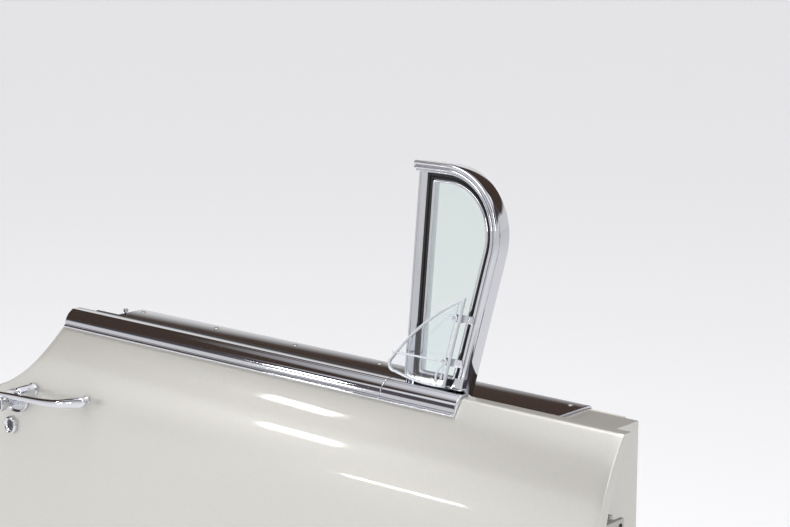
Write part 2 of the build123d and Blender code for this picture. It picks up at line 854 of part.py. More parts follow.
# Fluted switch plate on the upper trim
with BuildPart() as switch_plate:
    with BuildSketch(Plane.XZ.offset(-rest_y)) as plate:
        with Locations((switch_x[0], switch_z[0])):
            Rectangle(
                switch_x[1] - switch_x[0],
                switch_z[1] - switch_z[0],
                align=(Align.MIN, Align.MIN),
            )
        fillet(plate.vertices(), switch_corner)
    extrude(amount=-switch_t)
    with BuildSketch(Plane.YZ.offset(switch_x[0])):
        with Locations((rest_y + switch_t, (switch_z[0] + switch_z[1]) / 2)):
            with GridLocations(switch_flute_pitch, switch_flute_pitch, 1, switch_flutes):
                Rectangle(switch_flute, switch_flute, rotation=45)
    extrude(amount=switch_x[1] - switch_x[0], mode=Mode.SUBTRACT)
keep(switch_plate.part, "switch_plate")

# Inner door handle: a tapered lever on a round foot
with BuildPart() as inner_handle:
    for radius, reach in ((lever_foot_r, lever_foot_t), (lever_hub_r, lever_gap)):
        with BuildSketch(Plane.XZ.offset(-rest_y)):
            with Locations((lever_x, lever_z)):
                Circle(radius)
        extrude(amount=-reach)
    with BuildSketch(Plane.XZ.offset(-rest_y - lever_gap)):
        with BuildLine():
            CenterArc((lever_x, lever_z), lever_hub_r, 0, 360)
            CenterArc((lever_x - lever_length, lever_z), lever_tip_r, 0, 360)
        make_hull()
    extrude(amount=-lever_t)
keep(inner_handle.part, "inner_handle")

# Lock knob on the garnish: a narrow neck under a wider head
knob_plane = Plane(
    origin=(knob_x, knob_y, tray_top_z + 2 * seat + garnish_t), x_dir=(1, 0, 0), z_dir=(0, -1, 0)
)
with BuildPart() as lock_knob:
    with BuildSketch(knob_plane):
        with BuildLine():
            Polyline(
                (0, 0),
                (knob_neck_r, 0),
                (knob_neck_r, knob_height - knob_head),
                (knob_r, knob_height - knob_head),
                (knob_r, knob_height),
                (0, knob_height),
                close=True,
            )
        make_face()
    revolve(axis=Axis((knob_x, knob_y, 0), (0, 0, 1)))
keep(lock_knob.part, "lock_knob")

# Latch on the pan's rear face
latch_x = rear_x + pan_margin
with BuildPart() as latch:
    with BuildSketch(Plane.YZ.offset(latch_x)):
        with Locations((latch_y[0], latch_z[0])):
            Rectangle(
                latch_y[1] - latch_y[0], latch_z[1] - latch_z[0], align=(Align.MIN, Align.MIN)
            )
    extrude(amount=-latch_t)
    with BuildSketch(Plane.YZ.offset(latch_x - latch_t)):
        with Locations(((latch_y[0] + latch_y[1]) / 2, (latch_z[0] + latch_z[1]) / 2)):
            Circle(rotor_r)
    extrude(amount=-rotor_t)
keep(latch.part, "latch")
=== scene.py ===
import json
from math import atan2, copysign, cos, degrees, exp, pi, radians, sin, sqrt, tan

import bmesh
import bpy
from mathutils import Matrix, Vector, noise


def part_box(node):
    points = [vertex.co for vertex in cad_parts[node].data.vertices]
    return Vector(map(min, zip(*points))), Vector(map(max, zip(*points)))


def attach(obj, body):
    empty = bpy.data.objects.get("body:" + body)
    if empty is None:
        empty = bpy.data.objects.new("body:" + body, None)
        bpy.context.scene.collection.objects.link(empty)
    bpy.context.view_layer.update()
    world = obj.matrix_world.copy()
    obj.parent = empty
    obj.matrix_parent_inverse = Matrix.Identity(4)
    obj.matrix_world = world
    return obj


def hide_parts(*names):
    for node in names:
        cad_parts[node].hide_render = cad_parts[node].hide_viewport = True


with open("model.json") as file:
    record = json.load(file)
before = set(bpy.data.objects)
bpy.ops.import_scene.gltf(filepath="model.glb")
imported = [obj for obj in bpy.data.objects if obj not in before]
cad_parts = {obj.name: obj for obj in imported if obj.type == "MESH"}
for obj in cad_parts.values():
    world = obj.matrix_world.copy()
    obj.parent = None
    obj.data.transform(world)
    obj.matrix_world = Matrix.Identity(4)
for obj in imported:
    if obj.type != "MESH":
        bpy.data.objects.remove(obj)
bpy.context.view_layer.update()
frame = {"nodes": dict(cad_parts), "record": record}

# Outer skin
# The door's painted outside is one steel pressing with a rolled shoulder. Its edges are folded
# inwards round the inner pan. It is sprayed in pearl cream with fine flake under clear lacquer.
rear_x, crest_y, bottom_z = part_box("outer_skin")[0]
front_x, _, belt_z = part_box("outer_skin")[1]
belt_y = crest_y + 0.060
crest_z = belt_z - 0.185
tuck, tuck_drop = 0.008, 0.260
rear_top = (rear_x + 0.2164, belt_z - 0.022)
rear_sweep = [(rear_x + 0.1864, belt_z - 0.070), (rear_x + 0.094, belt_z - 0.135)]
rear_corner_radius, front_corner_radius = 0.075, 0.028
hem_depth, hem_roll = 0.016, 0.003
sheet_t = 0.002
skin_columns = 90


def skin_y(z):
    """How far across the car the skin's face lies at a height."""
    rise, bulge = belt_z - crest_z, belt_y - crest_y
    upper_radius = (rise**2 + bulge**2) / (2 * bulge)
    lower_radius = (tuck_drop**2 + tuck**2) / (2 * tuck)
    height = z - crest_z
    if height > 0:
        return crest_y + upper_radius - sqrt(upper_radius**2 - min(height, rise) ** 2)
    if height > -tuck_drop:
        return crest_y + lower_radius - sqrt(lower_radius**2 - height**2)
    slope = tuck_drop / sqrt(lower_radius**2 - tuck_drop**2)
    return crest_y + tuck - slope * (height + tuck_drop)


def evenly(start, end, count):
    """Values from start to end in count equal steps."""
    return [start + (end - start) * i / count for i in range(count + 1)]


def straight(start, end, count):
    """Points along a straight line."""
    return [tuple(Vector(start).lerp(Vector(end), share)) for share in evenly(0, 1, count)]


def rotated(v, angle):
    """A flat vector turned by an angle."""
    return Vector((v[0] * cos(angle) - v[1] * sin(angle), v[0] * sin(angle) + v[1] * cos(angle)))


def bend_between(a, b):
    """The signed angle from one flat vector to another."""
    return atan2(a[0] * b[1] - a[1] * b[0], a[0] * b[0] + a[1] * b[1])


def arc_from(start, heading, end, count):
    """Points along the arc that leaves start in a heading and reaches end."""
    start, end = Vector(start), Vector(end)
    half = bend_between(heading, end - start)
    if abs(half) < 1e-6:
        return straight(start, end, count)
    radius = (end - start).length / (2 * sin(half))
    centre = start + Vector((-heading[1], heading[0])).normalized() * radius
    return [tuple(centre + rotated(start - centre, turn)) for turn in evenly(0, 2 * half, count)]


def arc_through(start, middle, end, count):
    """Points along the arc through three points."""
    start, middle, end = Vector(start), Vector(middle), Vector(end)
    half = bend_between(middle - start, end - middle)
    return arc_from(start, rotated(end - start, -half), end, count)


def rounding(radius, count):
    """A rounded edge as (how far in, how deep), from its face to its side."""
    return [(radius * (1 - sin(a)), radius * (1 - cos(a))) for a in evenly(0, pi / 2, count)]


def shifted(points, distance, closed=True):
    """A flat line moved to its left by a distance, with its corners kept."""
    moved = []
    last = len(points) - 1
    for i, point in enumerate(points):
        runs = []
        if closed or i > 0:
            runs.append(Vector(point) - Vector(points[i - 1]))
        if closed or i < last:
            runs.append(Vector(points[(i + 1) % len(points)]) - Vector(point))
        runs = [run.normalized() for run in runs if run.length > 1e-9]
        along = sum(runs, Vector((0, 0))).normalized()
        stretch = distance / max(along.dot(runs[0]), 0.4)
        moved.append((point[0] - along.y * stretch, point[1] + along.x * stretch))
    return moved


def rear_edge():
    """The door's rear edge from the belt down to the foot, as (x, z)."""
    sweep = arc_through(rear_top, *rear_sweep, 16)
    rise = Vector(sweep[0]) - Vector(sweep[1])
    head = Vector(rear_top) + rise * ((belt_z - rear_top[1]) / rise.y)
    fall = Vector(sweep[-1]) - Vector(sweep[-2])
    chord = radians((degrees(atan2(-fall.y, -fall.x)) + 90) / 2)
    belly_z = rear_sweep[1][1] - (rear_sweep[1][0] - rear_x) * tan(chord)
    belly = arc_from(sweep[-1], fall, (rear_x, belly_z), 16)
    corner_z = bottom_z + rear_corner_radius
    plumb = [(rear_x, z) for z in evenly(belly_z, corner_z, 12)[1:-1]]
    foot = arc_from((rear_x, corner_z), (0, -1), (rear_x + rear_corner_radius, bottom_z), 16)
    return straight(head, rear_top, 4)[:-1] + sweep + belly[1:] + plumb + foot


def front_edge(levels):
    """The door's front edge at the same heights, with its small corner at the foot."""
    edge = []
    for z in levels:
        depth = max(0.0, bottom_z + front_corner_radius - z)
        inset = front_corner_radius - sqrt(max(0.0, front_corner_radius**2 - depth**2))
        edge.append((front_x - inset, z))
    return edge


def add_piece(name, shape, material, smooth=35, body="door"):
    """A mesh with one material, smooth except over sharp edges, that rides on a body."""
    vertices, faces = shape
    mesh = bpy.data.meshes.new(name)
    mesh.from_pydata([tuple(v) for v in vertices], [], faces)
    shell = bmesh.new()
    shell.from_mesh(mesh)
    bmesh.ops.remove_doubles(shell, verts=shell.verts, dist=2e-6)
    bmesh.ops.recalc_face_normals(shell, faces=shell.faces)
    shell.to_mesh(mesh)
    shell.free()
    mesh.shade_smooth()
    mesh.set_sharp_from_angle(angle=radians(smooth))
    piece = bpy.data.objects.new(name, mesh)
    bpy.context.scene.collection.objects.link(piece)
    mesh.materials.append(material)
    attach(piece, body)
    return piece


def lofted(rings, closed=True, caps=True):
    """Vertices and faces of a surface over rings of equal length."""
    size, last = len(rings[0]), (len(rings) - 1) * len(rings[0])
    vertices = [tuple(point) for ring in rings for point in ring]
    faces = []
    for r in range(0, last, size):
        for i in range(size if closed else size - 1):
            j = (i + 1) % size
            faces.append((r + i, r + j, r + size + j, r + size + i))
    if caps:
        faces += [tuple(range(size)), tuple(range(last, last + size))]
    return vertices, faces


def put(tree, kind, inputs=None, **settings):
    """A node with its settings, fed by plain values or by other nodes' outputs."""
    made = tree.nodes.new(kind)
    for key, value in settings.items():
        setattr(made, key, value)
    for key, value in (inputs or {}).items():
        if isinstance(value, bpy.types.NodeSocket):
            tree.links.new(value, made.inputs[key])
        else:
            made.inputs[key].default_value = value
    return made


def maths(tree, operation, a, b=0.0, clamp=False):
    """One step of arithmetic in a node tree."""
    return put(tree, "ShaderNodeMath", {0: a, 1: b}, operation=operation, use_clamp=clamp).outputs[0]


def about(tree, value, amount, middle=1.0, clamp=False):
    """A value from 0 to 1 made to vary round a middle, by an amount in all."""
    swing = maths(tree, "MULTIPLY", maths(tree, "SUBTRACT", value, 0.5), amount)
    return maths(tree, "ADD", swing, middle, clamp)


def toned(tree, colour, brightness):
    """A colour made lighter or darker."""
    tone = put(tree, "ShaderNodeHueSaturation", {"Value": brightness, "Color": colour})
    return tone.outputs["Color"]


def new_group(name, outputs, **inputs):
    """A shader node group with named outputs, and named inputs with their values where none is
    given. With it come its inputs' sockets, the place on the object, and its outputs' sockets."""
    group = bpy.data.node_groups.new(name, "ShaderNodeTree")
    for label, value in inputs.items():
        kind = "NodeSocketColor" if label == "Colour" else "NodeSocketFloat"
        label = label.replace("_", " ")
        socket = group.interface.new_socket(label, in_out="INPUT", socket_type=kind)
        socket.default_value = value
    for label, kind in outputs.items():
        group.interface.new_socket(label, in_out="OUTPUT", socket_type="NodeSocket" + kind)
    given = group.nodes.new("NodeGroupInput").outputs
    place = put(group, "ShaderNodeTexCoord").outputs["Object"]
    return group, given, place, group.nodes.new("NodeGroupOutput").inputs


def send(tree, sockets, **values):
    """Links values to the sockets of those names."""
    for label, value in values.items():
        tree.links.new(value, sockets[label])


# Drift: a colour and a roughness that wander a little over a surface, as real finishes do
drift, given, place, out = new_group(
    "drift", {"Colour": "Color", "Roughness": "Float"},
    Colour=(0.5, 0.5, 0.5, 1), Size=4.0, Amount=0.1, Roughness=0.3, Roughness_Amount=0.05,
)
cloud = put(drift, "ShaderNodeTexNoise", {"Vector": place, "Scale": given["Size"], "Detail": 4.0})
cloud = cloud.outputs["Fac"]
send(
    drift, out, Colour=toned(drift, given["Colour"], about(drift, cloud, given["Amount"])),
    Roughness=about(drift, cloud, given["Roughness Amount"], given["Roughness"], clamp=True),
)


def finish(name, colour, roughness, wander=None, **settings):
    """A new material: plain values on its shader's own sockets, and where wander gives a size, an
    amount and a roughness amount, a colour and a roughness that drift over the surface."""
    material = bpy.data.materials.new(name)
    material.use_nodes = True
    tree = material.node_tree
    sockets = tree.nodes["Principled BSDF"].inputs
    settings.update(Base_Color=(*colour, 1.0), Roughness=roughness)
    for key, value in settings.items():
        sockets[key.replace("_", " ")].default_value = value
    if wander:
        values = {"Colour": (*colour, 1.0), "Roughness": roughness}
        values.update(zip(("Size", "Amount", "Roughness Amount"), wander))
        drifting = put(tree, "ShaderNodeGroup", values, node_tree=drift).outputs
        tree.links.new(drifting["Colour"], sockets["Base Color"])
        tree.links.new(drifting["Roughness"], sockets["Roughness"])
    return material


def through(group, material, values, bump=None):
    """Passes a material's colour, and its roughness where the group takes one, through a texture
    group. Where the group gives a height, bump is its relief's (strength, distance)."""
    tree = material.node_tree
    sockets = tree.nodes["Principled BSDF"].inputs
    texture = put(tree, "ShaderNodeGroup", values, node_tree=group)
    for label, end in (("Colour", sockets["Base Color"]), ("Roughness", sockets["Roughness"])):
        if label in texture.inputs:
            tree.links.new(end.links[0].from_socket, texture.inputs[label])
            tree.links.new(texture.outputs[label], end)
    normal = texture.outputs.get("Normal")
    if bump:
        relief = {"Height": texture.outputs["Height"], "Strength": bump[0], "Distance": bump[1]}
        normal = put(tree, "ShaderNodeBump", relief).outputs["Normal"]
    if normal:
        tree.links.new(normal, sockets["Normal"])
    return material


# Flake: fine metal flakes in a paint, as a colour and a normal that change from flake to flake
flake, given, place, out = new_group(
    "paint_flake", {"Colour": "Color", "Normal": "Vector"},
    Colour=(0.7, 0.68, 0.6, 1), Flakes=900.0, Spread=0.12, Lean=0.1,
)
cells = put(flake, "ShaderNodeTexVoronoi", {"Vector": place, "Scale": given["Flakes"]})
cells = cells.outputs["Color"]
grey = put(flake, "ShaderNodeSeparateColor", {"Color": cells}).outputs[0]
normal = put(flake, "ShaderNodeNewGeometry").outputs["Normal"]
tilt, steps = cells, [
    ("SUBTRACT", {1: (0.5, 0.5, 0.5)}), ("SCALE", {"Scale": given["Lean"]}),
    ("ADD", {1: normal}), ("NORMALIZE", {}),
]
for operation, inputs in steps:
    tilt = put(flake, "ShaderNodeVectorMath", {0: tilt, **inputs}, operation=operation).outputs[0]
send(
    flake, out, Colour=toned(flake, given["Colour"], about(flake, grey, given["Spread"])),
    Normal=tilt,
)
pearl_cream = through(
    flake,
    finish(
        "pearl_cream", (0.60, 0.585, 0.54), 0.34, (3.0, 0.05, 0.06),
        Metallic=0.45, Coat_Weight=1.0, Coat_Roughness=0.05,
    ),
    {"Flakes": 1600.0, "Spread": 0.10, "Lean": 0.05},
)

left = rear_edge()
right = front_edge([z for x, z in left])
foot = straight(left[-1], right[-1], skin_columns)[1:-1]
head = straight(right[0], left[0], skin_columns)[1:-1]
outline = left + foot + right[::-1] + head
edge = shifted(outline, hem_roll)
rows, size = len(left), len(outline)


def on_skin(points, depth=0.0):
    """Outline points put on the skin's face, or sunk behind it by a depth."""
    return [(x, skin_y(z) + depth, z) for x, z in points]


def sheet_face(first, depth):
    """The faces inside the ring that starts at vertex first, at a depth behind the skin's face."""
    grid = {}
    for j in range(rows):
        mirror = rows + skin_columns - 1 + (rows - 1 - j)
        for i in range(skin_columns + 1):
            if i == 0:
                grid[i, j] = first + j
            elif i == skin_columns:
                grid[i, j] = first + mirror
            elif j == rows - 1:
                grid[i, j] = first + rows - 1 + i
            elif j == 0:
                grid[i, j] = first + size - i
            else:
                x, z = Vector(edge[j]).lerp(Vector(edge[mirror]), i / skin_columns)
                grid[i, j] = len(vertices)
                vertices.append((x, skin_y(z) + depth, z))
    return [
        (grid[i, j], grid[i, j + 1], grid[i + 1, j + 1], grid[i + 1, j])
        for j in range(rows - 1) for i in range(skin_columns)
    ]


hem = rounding(hem_roll, 5)
hem += [(0.0, hem_depth), (sheet_t, hem_depth), (sheet_t, hem_roll), (hem_roll, sheet_t)]
rings = [on_skin(shifted(outline, inset), depth) for inset, depth in hem]
vertices, faces = lofted(rings, caps=False)
faces += sheet_face(0, 0.0) + sheet_face((len(hem) - 1) * size, sheet_t)
skin = add_piece("skin_panel", (vertices, faces), pearl_cream, smooth=50)
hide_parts("outer_skin")

# Inner pan
# A deep tray pressed from steel sheet, spot-welded inside the skin's folded edge and painted
# with it. It carries the hinges, the latch and the trim.
def dress(node, material):
    """Gives a kept CAD piece its material."""
    materials = frame["nodes"][node].data.materials
    materials.clear()
    materials.append(material)


dress("inner_pan", pearl_cream)

# Weatherstrip
# A soft black rubber bulb, glued to the pan's flange down the front, along the foot and up the
# rear, which closes the gap round the shut door.
black_rubber = finish("black_rubber", (0.017, 0.017, 0.018), 0.55, (40.0, 0.35, 0.15))
strip_inset, strip_base = 0.003, 0.0046
strip_w, strip_t, strip_wall = 0.008, 0.007, 0.002
strip_top_z = belt_z - 0.0026


def band(rings, closed=True):
    """A solid ring or bar from its lines: rings[k] runs along it at point k of its section."""
    size = len(rings[0])
    vertices, faces = lofted(rings + [rings[0]], closed, False)
    if not closed:
        for end in (0, size - 1):
            faces.append(tuple(k * size + end for k in range(len(rings))))
    return vertices, faces


path = [(x, min(z, strip_top_z)) for x, z in left + foot + right[::-1]]
bulb = [(0.0, 0.0), *(
    (strip_w / 2 * (1 - cos(turn)), strip_wall + (strip_t - strip_wall) * sin(turn))
    for turn in evenly(0, pi, 8)
), (strip_w, 0.0)]
strip = add_piece("weatherstrip_bulb", band([
    on_skin(shifted(path, strip_inset + across, False), strip_base + depth)
    for across, depth in bulb
], False), black_rubber)
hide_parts("door_weatherstrip")

# Hinges
# Two forged steel hinges, zinc plated: a leaf for the pillar, a leaf held to the door's front
# face by four hexagon bolts with washers, and a headed pin through their knuckles.
zinc_steel = finish("zinc_steel", (0.46, 0.45, 0.42), 0.36, (25.0, 0.25, 0.22), Metallic=1.0)
pan_front_x, leaf_t = -0.024, 0.006
bolt_y, bolt_z = 0.016, 0.028
washer_r, washer_t = 0.0090, 0.0015
bolt_head_r, bolt_head_t = 0.0072, 0.0055
pin_x, pin_y, pin_r = -0.012, -0.034, 0.005
pin_head_r, pin_head_t = 0.008, 0.003
leaf_half_height = 0.038


def joined(*shapes):
    """Several (vertices, faces) put together as one."""
    vertices, faces = [], []
    for more_vertices, more_faces in shapes:
        base = len(vertices)
        vertices += more_vertices
        faces += [tuple(base + i for i in face) for face in more_faces]
    return vertices, faces


def circle(count):
    """Points round a circle of radius 1."""
    return [(cos(turn), sin(turn)) for turn in evenly(0, 2 * pi, count)[:-1]]


def turned(profile, centre, axis, count=32):
    """A turned solid, closed at its ends, from its profile of (radius, height along the axis)."""
    axis = Vector(axis).normalized()
    side = axis.orthogonal().normalized()
    other = axis.cross(side)
    profile = [(0.0, profile[0][1]), *profile, (0.0, profile[-1][1])]
    return lofted([
        [Vector(centre) + axis * height + (side * x + other * y) * radius for x, y in circle(count)]
        for radius, height in profile
    ])


def near(x, y, *offsets):
    """Points at offsets from one point."""
    return [(x + across, y + up) for across, up in offsets]


washer = [(washer_r, 0.0), (washer_r, washer_t)]
bolt_head = [
    (bolt_head_r, washer_t), (bolt_head_r, bolt_head_t - 0.0012), (bolt_head_r * 0.82, bolt_head_t)
]
pin_end = near(
    0.0, leaf_half_height, (pin_r, 0.0), (pin_head_r, 0.0), (pin_head_r, pin_head_t * 0.6),
    (pin_head_r * 0.6, pin_head_t),
)
pin_profile = pin_end[::-1] + [(r, -z) for r, z in pin_end]
bolts, pins = [], []
for mount in frame["record"]["mounts"]:
    level = mount["pos_m"][2]
    pins.append(turned(pin_profile, (pin_x, pin_y, level), (0, 0, 1)))
    for y in (-bolt_y, bolt_y):
        for z in (level - bolt_z, level + bolt_z):
            face_at = (pan_front_x + leaf_t, y, z)
            bolts += [turned(washer, face_at, (1, 0, 0)), turned(bolt_head, face_at, (1, 0, 0), 6)]
hinge_bolts = add_piece("hinge_bolts", joined(*bolts), zinc_steel)
hinge_pins = add_piece("headed_pins", joined(*pins), zinc_steel, body="hinge_leaves")
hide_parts("hinge_pins")
dress("hinge_pillar_leaves", zinc_steel)
dress("hinge_door_leaves", zinc_steel)

# Latch
# A pressed steel plate on the pan's rear face, held by four round-headed screws. A toothed wheel
# on it rolls into the striker as the door shuts.
latch_x = rear_x + 0.026
latch_low, latch_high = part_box("latch")
latch_y, latch_z = (latch_low.y + latch_high.y) / 2, (latch_low.z + latch_high.z) / 2
latch_t, latch_corner, latch_edge = 0.005, 0.006, 0.0012
wheel_teeth = 8
wheel_r, wheel_root, wheel_t, wheel_edge = 0.0138, 0.0095, 0.0065, 0.0006
tooth_shape = [  # share of the way to the next tooth, radius
    (0.0, wheel_root), (0.28, wheel_r), (0.52, wheel_r), (0.8, wheel_root),
]
hub_head, screw_head = (0.005, 0.0075), (0.0045, 0.0022)
screw_inset = 0.0085


def wound(points):
    """The same outline, counterclockwise."""
    area = sum(a[0] * b[1] - b[0] * a[1] for a, b in zip(points, points[1:] + points[:1]))
    return points if area > 0 else points[::-1]


def slab(outline, place, thickness, edge=0.0005):
    """A plate with rounded edges: place(points, height) stands its outline in the door."""
    outline = wound(outline)
    profile = [(edge * 1.5, 0.0)] + rounding(edge, 3)
    profile += [(inset, thickness - height) for inset, height in profile[::-1]]
    return lofted([place(shifted(outline, inset), height) for inset, height in profile])


def bend_at(before, here, after, radius, count):
    """Points along the arc that rounds off a corner."""
    here = Vector(here)
    back, ahead = (Vector(before) - here).normalized(), (Vector(after) - here).normalized()
    reach = radius / tan(back.angle(ahead) / 2)
    return arc_from(tuple(here + back * reach), -back, tuple(here + ahead * reach), count)


def rounded(corners, count=8):
    """A closed line through corners (x, y, radius), with an arc at each corner."""
    points = []
    for i, (x, y, radius) in enumerate(corners):
        after = corners[(i + 1) % len(corners)][:2]
        points += bend_at(corners[i - 1][:2], (x, y), after, radius, count) if radius else [(x, y)]
    return points


def domed(radius, height):
    """The profile of a round head."""
    return [(radius * cos(turn), height * sin(turn)) for turn in evenly(0, pi / 2, 6)]


def box_outline(low, high, radius, count=6):
    """A rectangle with rounded corners."""
    corners = (low, (high[0], low[1]), high, (low[0], high[1]))
    return rounded([(x, y, radius) for x, y in corners], count)


def on_rear(points, height):
    """Outline points (y, z) on the pan's rear face, raised to the rear."""
    return [(latch_x - height, y, z) for y, z in points]


def on_latch(head, y, z, count=32):
    """A round head that stands on the latch's plate."""
    return turned(domed(*head), (latch_x - latch_t, y, z), (-1, 0, 0), count)


wheel = []
for tooth in range(wheel_teeth):
    for share, radius in tooth_shape:
        turn = 2 * pi * (tooth + share) / wheel_teeth
        wheel.append((latch_y + radius * cos(turn), latch_z + radius * sin(turn)))
latch = add_piece("latch_wheel", joined(
    slab(box_outline(latch_low.yz, latch_high.yz, latch_corner), on_rear, latch_t, latch_edge),
    slab(wheel, lambda points, out: on_rear(points, out + latch_t), wheel_t, wheel_edge),
    on_latch(hub_head, latch_y, latch_z),
    *(
        on_latch(screw_head, y, z, 24)
        for y in (latch_low.y + screw_inset, latch_high.y - screw_inset)
        for z in (latch_low.z + screw_inset, latch_high.z - screw_inset)
    ),
), zinc_steel)
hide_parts("latch")

# Belt mouldings
# Rolled stainless mouldings over the door's top edge, polished bright, in two lengths. The long
# one follows the window and the short one lies under the quarter window.
pitting, given, place, out = new_group(
    "pitting", {"Colour": "Color", "Roughness": "Float"},
    Colour=(0.66, 0.665, 0.69, 1), Roughness=0.05, Pits=260.0, Pit_Size=0.10, Dulling=0.5,
)
spots = put(pitting, "ShaderNodeTexVoronoi", {"Vector": place, "Scale": given["Pits"]})
patches = put(pitting, "ShaderNodeTexNoise", {"Vector": place, "Scale": 14.0, "Detail": 2.0})
reach = maths(pitting, "MULTIPLY", patches.outputs["Fac"], given["Pit Size"])
pit = maths(pitting, "LESS_THAN", spots.outputs["Distance"], reach)
dull = maths(pitting, "MULTIPLY", pit, given["Dulling"])
send(
    pitting, out, Colour=toned(pitting, given["Colour"], maths(pitting, "SUBTRACT", 1.0, dull)),
    Roughness=maths(pitting, "ADD", given["Roughness"], dull, clamp=True),
)
polished_chrome = through(
    pitting,
    finish("polished_chrome", (0.63, 0.635, 0.665), 0.05, (9.0, 0.03, 0.05), Metallic=1.0),
    {"Pits": 260.0, "Pit Size": 0.13, "Dulling": 0.45},
)
moulding_foot, moulding_groove = (-0.0172, -0.0240), (-0.0168, -0.0182)
moulding_lip = [moulding_foot, (-0.0202, -0.0212), (-0.0182, -0.0190)]
moulding_face = [(-0.0176, -0.0172), (-0.0135, -0.0062), (-0.0040, 0.0024)]
moulding_bead = [(-0.0036, 0.0028), (-0.0012, 0.0045), (0.0015, 0.0046)]
moulding_width, moulding_top, moulding_seat = 0.014, 0.0046, 0.0003
moulding_split_x, moulding_joint = -0.376, 0.0006
moulding_rear_x, moulding_front_x = rear_top[0] + 0.0066, -0.240


def rod(section, start, end, edge=0.0006):
    """A bar of one section (y, z) along X, with its ends a little rounded."""
    section = wound(section)
    ends = rounding(edge, 3) + [(0.0, edge * 1.5)]
    rings = [[(start + rise, *p) for p in shifted(section, inset)] for inset, rise in ends]
    rings += [[(end - rise, *p) for p in shifted(section, inset)] for inset, rise in ends[::-1]]
    return lofted(rings)


moulding_line = [
    *arc_through(*moulding_lip, 8), moulding_groove, *arc_through(*moulding_face, 16),
    *arc_through(*moulding_bead, 6), (moulding_width, moulding_top), (moulding_width, moulding_seat),
]
moulding_section = near(belt_y, belt_z, *moulding_line)
moulding_section += [
    (skin_y(z) - moulding_seat, z + moulding_seat)
    for z in evenly(belt_z, belt_z + moulding_foot[1], 8)
]
lengths = [
    ("belt_moulding_bright", "belt_moulding", moulding_rear_x, moulding_split_x - moulding_joint),
    ("base_moulding_bright", "vent_base_moulding", moulding_split_x, moulding_front_x),
]
for name, node, start, end in lengths:
    moulding = add_piece(name, rod(moulding_section, start, end), polished_chrome, smooth=30)
    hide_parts(node)

# Belt seals
# Two lips of black rubber that wipe the glass, clipped to the slot's edges and flocked where
# they touch it.
glass_y = belt_y + 0.028
slot_rear_x = rear_top[0] + 0.0426
tray_top_z = belt_z - 0.016
wiper_t, wiper_depth = 0.004, 0.016
window_rear_x = slot_rear_x + 0.003
bar_left, bar_right = (corner.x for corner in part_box("division_bar"))
seals = [  # piece, CAD node, root, lip, top
    ("outer_wiper", "belt_seal_outer", belt_y + 0.0163, glass_y - 0.0036, belt_z + 0.0036),
    ("inner_wiper", "belt_seal_inner", belt_y + 0.0437, glass_y + 0.0028, tray_top_z + 0.006),
]
for name, node, root_y, lip_y, top in seals:
    side = 1 if lip_y > root_y else -1
    section = arc_through((root_y, top), ((root_y + lip_y) / 2, top + 0.001), (lip_y, top - 0.002), 8)
    section += [
        (lip_y, top - 0.0046), (lip_y - side * 0.0010, top - 0.0050),
        (root_y + side * wiper_t, top - 0.0030), (root_y + side * wiper_t, top - wiper_depth),
        (root_y, top - wiper_depth),
    ]
    wiper = add_piece(name, rod(section, window_rear_x, bar_left - 0.0003, 0.0003), black_rubber)
    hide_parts(node)

# Door glass
# One sheet of toughened glass, faintly green, with ground edges. It is wound down until its
# polished top edge lies just under the belt.
safety_glass = finish("safety_glass", (0.84, 0.92, 0.89), 0.0, Transmission_Weight=1.0, IOR=1.5)
glass_lean = radians(6.0)
glass_t, glass_edge, glass_corner = 0.006, 0.0012, 0.025
glass_top, glass_foot = -0.012, -0.342
glass_front_x = bar_left + 0.0087


def at_glass(x, up, out=0.0):
    """A point so far along and up the leaning glass plane, moved out from it."""
    return (
        x, glass_y + up * sin(glass_lean) - out * cos(glass_lean),
        belt_z + up * cos(glass_lean) + out * sin(glass_lean),
    )


def glass_plate(outline, back, thickness, edge):
    """A plate that lies along the glass plane, with its back at a distance out from it."""
    def place(points, height):
        return [at_glass(*point, back + height) for point in points]
    return slab(outline, place, thickness, edge)


glass_outline = rounded([
    (window_rear_x, glass_foot, glass_corner), (glass_front_x, glass_foot, 0.0),
    (glass_front_x, glass_top, 0.0), (window_rear_x, glass_top, glass_corner),
], 10)
pane = add_piece(
    "door_window", glass_plate(glass_outline, -glass_t / 2, glass_t, glass_edge), safety_glass
)
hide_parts("door_glass")

# Division bar
# A bright post between the two windows, rolled from stainless sheet. Its grooved rear edge
# guides the door glass on black felt.
bar_foot, bar_top = -0.345, 0.2997
bar_back, bar_front, bar_crown, bar_bead = -0.012, 0.011, 0.003, 0.0016
bar_groove, groove_half = 0.009, 0.0033
bar_shoulder = bar_front - bar_crown
felt_r, felt_foot = 0.0011, 0.004
bar_section = [
    (bar_left, groove_half), (bar_left, bar_shoulder),
    *arc_through(
        (bar_left + 0.0003, bar_shoulder + 0.0006), (bar_left + bar_bead, bar_front - 0.0010),
        (bar_left + 2 * bar_bead, bar_shoulder + 0.0010), 6,
    ),
    *arc_through(
        (bar_left + 2 * bar_bead + 0.0003, bar_shoulder + 0.0012),
        ((bar_left + bar_right) / 2 + bar_bead, bar_front), (bar_right, bar_shoulder), 12,
    ),
    (bar_right, bar_back), (bar_left, bar_back), (bar_left, -groove_half),
    (bar_left + bar_groove, -groove_half), (bar_left + bar_groove, groove_half),
]


def upright(section, foot, top):
    """A bar of one section (along, outwards) that stands in the glass plane."""
    return lofted([[at_glass(x, up, out) for x, out in section] for up in (foot, top)])


bar = add_piece("division_post", upright(bar_section, bar_foot, bar_top), polished_chrome, smooth=30)
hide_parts("division_bar")
felts = [
    [(bar_left + felt_r * (x - 0.3), middle + felt_r * y) for x, y in circle(8)]
    for middle in (groove_half + felt_r * 0.4, -groove_half - felt_r * 0.4)
]
bar_felt = add_piece(
    "post_felt", joined(*(upright(felt, felt_foot, bar_top) for felt in felts)), black_rubber
)

